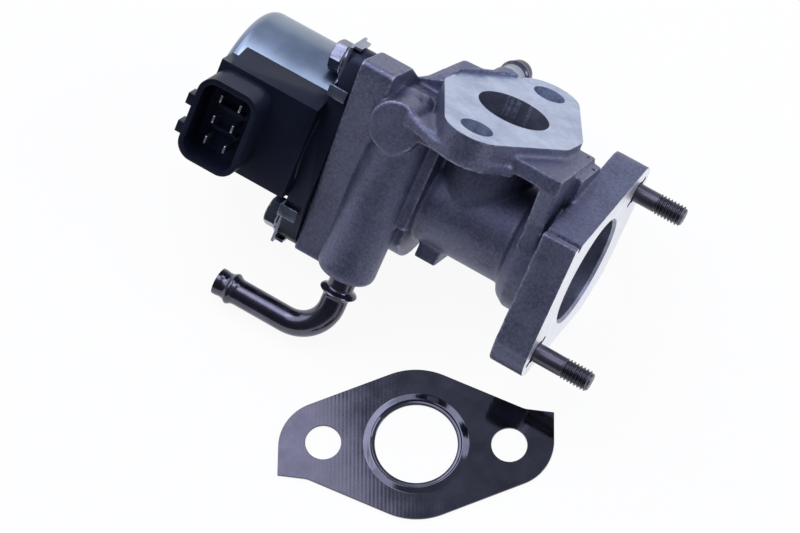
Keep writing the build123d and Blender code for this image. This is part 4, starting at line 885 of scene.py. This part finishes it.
# %% Stud tree
thread_tree, known = start_tree(
    "threaded_stud", Major=2.95, Core=2.4, Shank=2.68, Pitch=1.0, Thread=8.6, Length=23.0, Dish=0.5,
    Flank_Slope=2.7, Root_Flat=0.22, Run_Out=1.6, Chamfer_Slope=0.9, Tip_Radius=2.15,
    Material=black_oxide)
grid = add_node(thread_tree, "GeometryNodeMeshGrid", {"Size X": 1.0, "Size Y": 1.0,
                                                      "Vertices X": 340, "Vertices Y": 49})
spot = add_node(thread_tree, "GeometryNodeInputPosition")
parts = add_node(thread_tree, "ShaderNodeSeparateXYZ", {0: spot.outputs[0]})
known.update(gx=parts.outputs["X"], gy=parts.outputs["Y"])
for result, operation, *terms in (
        ("up", "ADD", "gx", 0.5), ("turn", "ADD", "gy", 0.5),
        ("height", "MULTIPLY", "up", "Length"), ("angle", "MULTIPLY", "turn", 2 * math.pi),
        ("pitches", "DIVIDE", "height", "Pitch"), ("lag", "SUBTRACT", "pitches", "turn"),
        ("phase", "FRACT", "lag"), ("centred", "SUBTRACT", "phase", 0.5), ("vee", "ABSOLUTE", "centred"),
        ("steep", "MULTIPLY", "vee", "Flank_Slope"), ("flat", "SUBTRACT", "steep", "Root_Flat"),
        ("low", "MAXIMUM", "flat", 0.0), ("tooth", "MINIMUM", "low", 1.0),
        ("rise", "SUBTRACT", "Major", "Core"), ("lift", "MULTIPLY", "tooth", "rise"),
        ("threaded", "ADD", "Core", "lift"), ("plain_end", "SUBTRACT", "Length", "Thread"),
        ("past", "SUBTRACT", "height", "plain_end"), ("past_part", "MULTIPLY", "past", "Run_Out"),
        ("past_low", "MAXIMUM", "past_part", 0.0), ("in_thread", "MINIMUM", "past_low", 1.0),
        ("change", "SUBTRACT", "threaded", "Shank"), ("mixed", "MULTIPLY", "change", "in_thread"),
        ("body", "ADD", "Shank", "mixed"), ("from_end", "SUBTRACT", "Length", "height"),
        ("slope", "MULTIPLY", "from_end", "Chamfer_Slope"), ("limit", "ADD", "slope", "Tip_Radius"),
        ("chamfered", "MINIMUM", "body", "limit"), ("not_tip", "LESS_THAN", "up", 0.9999),
        ("not_root", "GREATER_THAN", "up", 0.0001), ("kept", "MULTIPLY", "not_tip", "not_root"),
        ("radius", "MULTIPLY", "chamfered", "kept"), ("is_tip", "SUBTRACT", 1.0, "not_tip"),
        ("dish", "MULTIPLY", "is_tip", "Dish"), ("dished", "SUBTRACT", "height", "dish"),
        ("cos", "COSINE", "angle"), ("sin", "SINE", "angle"),
        ("y_mm", "MULTIPLY", "radius", "cos"), ("z_mm", "MULTIPLY", "radius", "sin"),
        ("x", "MULTIPLY", "dished", MM), ("y", "MULTIPLY", "y_mm", MM), ("z", "MULTIPLY", "z_mm", MM)):
    values = {index: known.get(term, term) for index, term in enumerate(terms)}
    known[result] = add_node(thread_tree, "ShaderNodeMath", values, operation=operation).outputs[0]
where = add_node(thread_tree, "ShaderNodeCombineXYZ", {0: known["x"], 1: known["y"], 2: known["z"]})
rolled = add_node(thread_tree, "GeometryNodeSetPosition", {"Geometry": grid.outputs["Mesh"],
                                                           "Position": where.outputs[0]})
sealed = add_node(thread_tree, "GeometryNodeMergeByDistance", {"Geometry": rolled.outputs[0],
                                                               "Distance": 1e-6})
end_tree(thread_tree, sealed.outputs[0], known["Material"])
print("stud tree has", len(thread_tree.nodes), "nodes")

# %% Studs
STUD_ROOT = -8.4
STUD_PROUD = {27.0: 14.7, -27.0: 16.9}
studs = []
for stud_y, proud in STUD_PROUD.items():
    stud = run_tree(points_object("stud", [(0, 0, 0)]), thread_tree, Length=proud - STUD_ROOT)
    stud.data.transform(Matrix.Translation((STUD_ROOT * MM, stud_y * MM, 0)))
    studs.append(face_outwards(stud))
studs = join(studs, "threaded_studs")
coat(studs, black_oxide)
smooth_by_angle(studs, 32)
finish_piece(studs, "valve", "black_steel", "outlet_studs")

# %% [markdown]
# ## Flange bolts
# Three M5 bolts with a hexagon head and a forged flange hold the motor. Each is one closed shape
# turned about its axis, where the radius follows the hexagon between the flange and the top
# chamfer. It is made once and Geometry Nodes puts it at the three seats, each spun to its own
# stopping angle, as bolts are after tightening.

# %% Bolt head and shank
BOLT_SEAT_X = -80.2
BOLT_SIDES = 96
HEX_FLAT = 4.0
HEX_CORNER = 4.62
# From the shank's end to the dish of the head: radius, place on the axis, and for a hexagon the
# radius that its corners are turned down to.
BOLT_RINGS = ((0.0, 14.0), (2.2, 14.0), (2.5, 13.6), (2.5, 0.0), (4.7, 0.0), (4.9, -0.2), (4.9, -0.7),
              (4.62, -1.1), (4.15, -1.35), (HEX_FLAT, -1.45, HEX_CORNER), (HEX_FLAT, -4.2, HEX_CORNER),
              (HEX_FLAT, -4.5, 4.25), (3.75, -4.8), (3.2, -4.8), (2.7, -4.35), (0.0, -4.25))


def hexagon(angle, to_flat):
    """Distance to the side of a hexagon in the direction of an angle."""
    folded = (angle + math.pi / 6) % (math.pi / 3) - math.pi / 6
    return to_flat / math.cos(folded)


def bolt_ring(radius, x, corner=None):
    """One ring of the bolt, round or six-sided."""
    ring = []
    for angle in full_turn(BOLT_SIDES):
        reach = min(hexagon(angle, radius), corner) if corner else radius
        ring.append(Vector((x, reach * math.cos(angle), reach * math.sin(angle))) * MM)
    return ring


one_bolt = skin_rings("one_bolt", [bolt_ring(*row) for row in BOLT_RINGS], closed=False)
print("one bolt has", len(one_bolt.data.polygons), "faces")

# %% Bolts at their seats
bolt_tree, known = start_tree("bolts_at_seats", Bolt=one_bolt, Seed=4, Material=bright_zinc)
pattern = add_node(bolt_tree, "GeometryNodeObjectInfo", {"Object": known["Bolt"]})
copies = add_node(bolt_tree, "GeometryNodeInstanceOnPoints", {"Points": known["Geometry"],
                                                              "Instance": pattern.outputs["Geometry"]})
stop = add_node(bolt_tree, "FunctionNodeRandomValue", {"Seed": known["Seed"]}, data_type="FLOAT")
stop_angle = add_node(bolt_tree, "ShaderNodeMath", {0: stop.outputs[1], 1: math.pi / 3},
                      operation="MULTIPLY")
spin = add_node(bolt_tree, "ShaderNodeCombineXYZ", {0: stop_angle.outputs[0]})
spun = add_node(bolt_tree, "GeometryNodeRotateInstances", {"Instances": copies.outputs[0],
                                                           "Rotation": spin.outputs[0]})
end_tree(bolt_tree, spun.outputs[0], known["Material"])
seats = [(BOLT_SEAT_X, centre.y, centre.z) for centre in motor_centres]
bolts = run_tree(points_object("flange_bolts", seats, joined=False), bolt_tree)
bpy.data.objects.remove(one_bolt)
coat(bolts, bright_zinc)
smooth_by_angle(bolts, 25)
finish_piece(bolts, "valve", "bolt_steel", "motor_bolts")

# %% [markdown]
# ## Coolant pipes
# Both pipes are steel tube. A swaged bead near the open end keeps a hose on, and the elbow has a
# rolled collar that stops it against its boss. A tube follows a path, so a tree fillets the path's
# corner, sweeps a circle whose radius swells at each bead, sweeps the bore inside it, and welds the
# two at the ends.

# %% Pipe tree
BEND_RADIUS = 10.5
pipe_tree, known = start_tree(
    "swaged_pipe", Radius=PIPE_RADIUS, Wall=0.7, Bend=BEND_RADIUS, Bead_Place=50.0, Bead_Rise=0.85,
    Bead_Width=1.05, Collar_Place=9.0, Collar_Rise=1.6, Collar_Width=0.8, Lip_Rise=0.15, Lip_Start=2.2,
    Length=55.0, Rows=260, Material=dark_nickel)
line = add_node(pipe_tree, "GeometryNodeMeshToCurve", {0: known["Geometry"]})
bend = add_node(pipe_tree, "ShaderNodeMath", {0: known["Bend"], 1: MM}, operation="MULTIPLY")
filleted = add_node(pipe_tree, "GeometryNodeFilletCurve", {"Curve": line.outputs[0], "Count": 40,
                                                           "Radius": bend.outputs[0]}, mode="POLY")
path = add_node(pipe_tree, "GeometryNodeResampleCurve", {"Curve": filleted.outputs[0],
                                                         "Count": known["Rows"]})
along_path = add_node(pipe_tree, "GeometryNodeSplineParameter")
known.update(metres=along_path.outputs["Length"], part=along_path.outputs["Factor"])
swellings = [row for name in ("Bead", "Collar") for row in (
    (name + "_off", "SUBTRACT", "s", name + "_Place"),
    (name + "_part", "DIVIDE", name + "_off", name + "_Width"),
    (name + "_power", "POWER", name + "_part", 2.0), (name + "_fall", "MULTIPLY", name + "_power", -1.0),
    (name + "_shape", "EXPONENT", name + "_fall"), (name, "MULTIPLY", name + "_shape", name + "_Rise"))]
for result, operation, *terms in (
        ("s", "DIVIDE", "metres", MM), *swellings,
        ("lip_off", "SUBTRACT", "s", "Length"), ("lip_part", "ADD", "lip_off", "Lip_Start"),
        ("lip_low", "MAXIMUM", "lip_part", 0.0), ("lip_high", "MINIMUM", "lip_low", 1.0),
        ("lip", "MULTIPLY", "lip_high", "Lip_Rise"), ("with_bead", "ADD", "Radius", "Bead"),
        ("with_collar", "ADD", "with_bead", "Collar"), ("outside", "ADD", "with_collar", "lip"),
        ("inside", "SUBTRACT", "Radius", "Wall"), ("half_wall", "DIVIDE", "Wall", 2.0),
        ("middle", "SUBTRACT", "Radius", "half_wall"), ("from_middle", "SUBTRACT", "part", 0.5),
        ("away", "ABSOLUTE", "from_middle"), ("at_end", "GREATER_THAN", "away", 0.4999),
        ("inner", "SUBTRACT", 1.0, "at_end"), ("end_radius", "MULTIPLY", "middle", "at_end"),
        ("outer_kept", "MULTIPLY", "outside", "inner"), ("inner_kept", "MULTIPLY", "inside", "inner"),
        ("outer_radius", "ADD", "outer_kept", "end_radius"),
        ("inner_radius", "ADD", "inner_kept", "end_radius")):
    values = {index: known.get(term, term) for index, term in enumerate(terms)}
    known[result] = add_node(pipe_tree, "ShaderNodeMath", values, operation=operation).outputs[0]
ring = add_node(pipe_tree, "GeometryNodeCurvePrimitiveCircle", {"Resolution": 48, "Radius": MM})
both = add_node(pipe_tree, "GeometryNodeJoinGeometry")
for radius in ("outer_radius", "inner_radius"):
    swept = add_node(pipe_tree, "GeometryNodeCurveToMesh", {
        "Curve": path.outputs[0], "Profile Curve": ring.outputs[0], "Scale": known[radius]})
    pipe_tree.links.new(swept.outputs[0], both.inputs[0])
welded = add_node(pipe_tree, "GeometryNodeMergeByDistance", {"Geometry": both.outputs[0],
                                                             "Distance": 2e-6})
end_tree(pipe_tree, welded.outputs[0], known["Material"])
print("pipe tree has", len(pipe_tree.nodes), "nodes")

# %% Elbow
PIPE_TOP_N = -19.7
ELBOW_END_X = -88.4
ELBOW_LOW_N = -48.38
COLLAR_N = -33.4
END_TO_BEAD = 4.8
elbow_path = [place(INLET, x, ELBOW_ACROSS, up) / MM for x, up in
              ((ELBOW_X, PIPE_TOP_N), (ELBOW_X, ELBOW_LOW_N), (ELBOW_END_X, ELBOW_LOW_N))]
elbow_runs = [(b - a).length for a, b in zip(elbow_path, elbow_path[1:])]
# A rounded square corner is shorter than the sharp one by this much.
corner_saving = (2 - math.pi / 2) * BEND_RADIUS
elbow_length = sum(elbow_runs) - corner_saving
elbow = run_tree(points_object("coolant_elbow", elbow_path), pipe_tree, Length=elbow_length,
                 Bead_Place=elbow_length - END_TO_BEAD, Collar_Place=PIPE_TOP_N - COLLAR_N)
coat(elbow, dark_nickel)
smooth_by_angle(face_outwards(elbow), 50)
finish_piece(elbow, "valve", "nickel_pipe", "coolant_elbow_pipe")

# %% Rear pipe
NIPPLE_END = 38.0
NIPPLE_BEAD = 33.2
NIPPLE_DARK_FROM = 31.5
rear_path = [place(INLET, NIPPLE_X, across, NIPPLE_UP) / MM for across in (NIPPLE_START, NIPPLE_END)]
rear = run_tree(points_object("coolant_nipple", rear_path), pipe_tree,
                Length=NIPPLE_END - NIPPLE_START, Bead_Place=NIPPLE_BEAD - NIPPLE_START,
                Collar_Rise=0.0, Rows=110, Material=rear_zinc)
coat(rear, rear_zinc, dark_nickel)
# The faces past NIPPLE_DARK_FROM, the pipe's end with its bead, are drawn darker with the dark_nickel
# finish.
for face in rear.data.polygons:
    face.material_index = int(face.center.dot(inlet_across) > NIPPLE_DARK_FROM * MM)
smooth_by_angle(face_outwards(rear), 50)
finish_piece(rear, "valve", "zinc_pipe", "coolant_rear_pipe")


# %% [markdown]
# ## Motor can
# The can is one deep-drawn steel cup pressed over the stator. Drawing leaves an even wall, a rounded
# corner and a shallow step where the punch held the blank, so a lathe profile is all it needs; a
# window for the terminals is then punched through its side.

# %% Motor can
CAN_RADIUS = 21.5
CAN_BACK_X = -79.4
CAN_END_X = -111.0
CAN_CORNER = 3.6
CAN_WALL = 1.0


def arc(centre_radius, centre_height, radius, start, stop, steps):
    """Profile points on an arc, angles in degrees from the outward direction."""
    angles = [math.radians(start + (stop - start) * step / steps) for step in range(steps + 1)]
    return [(centre_radius + radius * math.cos(a), centre_height + radius * math.sin(a)) for a in angles]


corner_radius, corner_x = CAN_RADIUS - CAN_CORNER, CAN_END_X + CAN_CORNER
can_profile = [(CAN_RADIUS - CAN_WALL, CAN_BACK_X - 0.05), (CAN_RADIUS - 0.35, CAN_BACK_X - 0.05),
               (CAN_RADIUS - 0.08, CAN_BACK_X - 0.2), (CAN_RADIUS, CAN_BACK_X - 0.5)]
can_profile += arc(corner_radius, corner_x, CAN_CORNER, 0, -90, 16)
can_profile += [(13.2, CAN_END_X), (12.6, CAN_END_X + 0.15), (12.2, CAN_END_X + 0.5), (9.6, CAN_END_X + 0.5),
                (9.2, CAN_END_X + 0.3), (0.0, CAN_END_X + 0.3), (0.0, CAN_END_X + 0.95),
                (corner_radius, CAN_END_X + CAN_WALL)]
can_profile += arc(corner_radius, corner_x, CAN_CORNER - CAN_WALL, -90, 0, 8)
can = lathe("drawn_motor_can", can_profile, STEM, 192)
subtract(can, block("window", (-105.0, -30.0, -8.0), (-95.8, -14.0, 8.0), MOTOR))
coat(can, can_steel)
smooth_by_angle(can, 30)
finish_piece(can, "valve", "can_steel", "motor_can")

# %% [markdown]
# ## Moulded body, clips and terminals
# These are made of flat faces with sharp corners in the imported model, and a real moulding or pressing
# has a small radius on each. Their coplanar triangles are merged into large faces, and a Bevel
# modifier rounds every edge sharper than 30 degrees. Remeshing would round them as well, but it would
# swallow the 0.9 mm ribs.

# %% Softened copies


def softened(node_name, name, width_mm, finish, segments=3):
    """A copy of a node with its coplanar triangles merged and its sharp edges rounded."""
    obj = merged_copy(node_name, name)
    with editing(obj) as work:
        bmesh.ops.dissolve_limit(work, angle_limit=math.radians(0.8), verts=work.verts, edges=work.edges)
    edges = obj.modifiers.new("edges", "BEVEL")
    edges.width = width_mm * MM
    edges.segments = segments
    edges.limit_method = "ANGLE"
    edges.angle_limit = math.radians(30)
    edges.use_clamp_overlap = True
    bake(obj)
    coat(obj, finish)
    return smooth_by_angle(obj, 35)


for node_name, name, width_mm, finish, slot_name in (
        ("motor_body", "moulded_motor_body", 0.4, black_nylon, "black_nylon"),
        ("bolt_clips", "sprung_bolt_clips", 0.08, clip_zinc, "clip_steel"),
        ("connector_pins", "terminal_blades", 0.14, tin, "tinned_blades")):
    finish_piece(softened(node_name, name, width_mm, finish), "valve", slot_name, node_name)

# %% [markdown]
# ## Gasket
# The sheet is blanked from steel, and a sealing bead is pressed around its port: it rises towards the
# port like a shallow cone and drops to a flat lip. A bead on a flat sheet can be sculpted with
# Displace, but the sheet has too few points for that; a turned ring let into the sheet is exact.

# %% Gasket sheet and bead
GASKET_CENTRE = Vector((-18.2, -57.9, -25.3))
BEAD_FOOT = 14.32
BEAD_PROFILE = ((BEAD_FOOT, 0.0), (BEAD_FOOT, 0.8), (14.0, 0.84), (12.9, 1.1), (12.6, 1.14), (12.4, 1.1),
                (12.05, 0.82), (11.8, 0.78), (11.35, 0.78), (11.2, 0.68), (11.2, 0.12), (11.3, 0.0))
sheet_piece = softened("inlet_gasket", "coated_gasket", 0.1, gasket_coat, 2)
gasket_place = Matrix.Translation(GASKET_CENTRE * MM)
subtract(sheet_piece, cylinder("bead_hole", BEAD_FOOT, 4.0,
                               gasket_place @ Matrix.Translation((0, 0, -MM)), 160))
gasket = join([sheet_piece, lathe("bead", BEAD_PROFILE, gasket_place, 192)], "coated_gasket")
coat(gasket, gasket_coat)
smooth_by_angle(gasket, 12)
finish_piece(gasket, "valve", "gasket_steel", "inlet_gasket")

# %% [markdown]
# ## Everything inside
# The seat, valve, screw, bearing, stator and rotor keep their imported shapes, which are already those
# of turned, rolled and stamped pieces. Each gets the finish of what it is made of.

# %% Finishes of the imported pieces
finishes = {
    "valve_seat_ring": hard_iron, "stem_bush": bronze, "soot_shield": stainless,
    "motor_seal_ring": rubber, "stator_yokes": yoke_steel, "coil_bobbins": bobbin_plastic,
    "stator_coils": winding, "bearing_plate": can_steel, "bearing_outer_ring": bearing_steel,
    "bearing_inner_ring": bearing_steel, "bearing_balls": ball_steel, "bearing_cage": cage_plastic,
    "preload_washer": spring_steel, "rear_bush": bronze, "screw_guide": guide_steel,
    "spring_seat_washer": stainless, "return_spring": spring_steel, "rotor_sleeve": sleeve_plastic,
    "rotor_magnet": ferrite, "rotor_nut": brass, "lead_screw": screw_steel,
    "valve_stem": stem_steel, "poppet_head": valve_steel, "spring_retainer": stainless,
    "retaining_ring": spring_steel,
}
for node_name, finish in finishes.items():
    node = nodes[node_name]
    coat(node, finish)
print("finished", len(finishes), "nodes")

# %% [markdown]
# ## Bench and light
# A pale bench, big soft lamps and a world that is darker in front than behind, as in a product
# studio with a white table. Light Path makes the bench mostly white to camera, glossy and
# transmission rays, so that metal shows it too; a part of it still catches light and shadow.

# %% Bench
BENCH_LEVEL = -0.0253
BENCH_HALF = 3.0
BENCH_OWN_LIGHT = 0.93
sheet = bmesh.new()
bmesh.ops.create_grid(sheet, x_segments=1, y_segments=1, size=BENCH_HALF,
                      matrix=Matrix.Translation((0, 0, BENCH_LEVEL)))
bench = mesh_object("bench", sheet)
bench_finish, tree, shader, at = start_material("white_bench_paper", Roughness=0.9,
                                                Base_Color=linear("f4f5f8"))
white = add_node(tree, "ShaderNodeEmission", {"Color": (1, 1, 1, 1), "Strength": 1.0})
rays = add_node(tree, "ShaderNodeLightPath")
share = rays.outputs["Is Camera Ray"]
for operation, term in (("MAXIMUM", rays.outputs["Is Transmission Ray"]),
                        ("MAXIMUM", rays.outputs["Is Glossy Ray"]), ("MULTIPLY", BENCH_OWN_LIGHT)):
    share = add_node(tree, "ShaderNodeMath", {0: share, 1: term}, operation=operation).outputs["Value"]
mixed = add_node(tree, "ShaderNodeMixShader", {0: share, 1: shader.outputs["BSDF"],
                                               2: white.outputs["Emission"]})
tree.links.new(mixed.outputs["Shader"], tree.nodes["Material Output"].inputs["Surface"])
coat(bench, bench_finish)

# %% World
world = bpy.data.worlds.new("studio")
bpy.context.scene.world = world
world.use_nodes = True
world_tree = world.node_tree
way = add_node(world_tree, "ShaderNodeTexCoord")
split = add_node(world_tree, "ShaderNodeSeparateXYZ", {0: way.outputs["Generated"]})
depth = add_node(world_tree, "ShaderNodeMapRange", {"Value": split.outputs["Y"], "From Min": -0.7,
                                                    "From Max": 0.6, "To Min": 0.14, "To Max": 0.75})
world_tree.links.new(depth.outputs["Result"], world_tree.nodes["Background"].inputs["Strength"])
world_tree.nodes["Background"].inputs["Color"].default_value = linear("d4dcf2")
print("bench and world made")

# %% Lamps


def softbox(name, where, aim, size, power, colour):
    """A rectangular area lamp that looks at a point."""
    data = bpy.data.lights.new(name, "AREA")
    data.shape = "RECTANGLE"
    data.size, data.size_y = size
    data.energy = power
    data.color = linear(colour)[:3]
    lamp = bpy.data.objects.new(name, data)
    bpy.context.scene.collection.objects.link(lamp)
    z = (Vector(where) - Vector(aim)).normalized()
    x = Vector((0, 0, 1)).cross(z).normalized()
    lamp.matrix_world = Matrix.Translation(where) @ Matrix((x, z.cross(x), z)).transposed().to_4x4()


middle = (-0.045, -0.015, 0.0)
softbox("left_box", (-0.62, 0.12, 0.6), middle, (0.9, 0.9), 4.2, "eef2ff")
softbox("right_box", (0.65, 0.3, 0.5), middle, (0.5, 0.6), 3.2, "eef2ff")
softbox("top_box", (-0.415, 0.163, 0.98), (-0.3, 0.29, 0.0), (0.8, 0.36), 2.3, "f0edff")
softbox("rear_box", (0.06, 0.56, 1.0), middle, (0.5, 0.3), 1.2, "eef2ff")
print("lamps made")
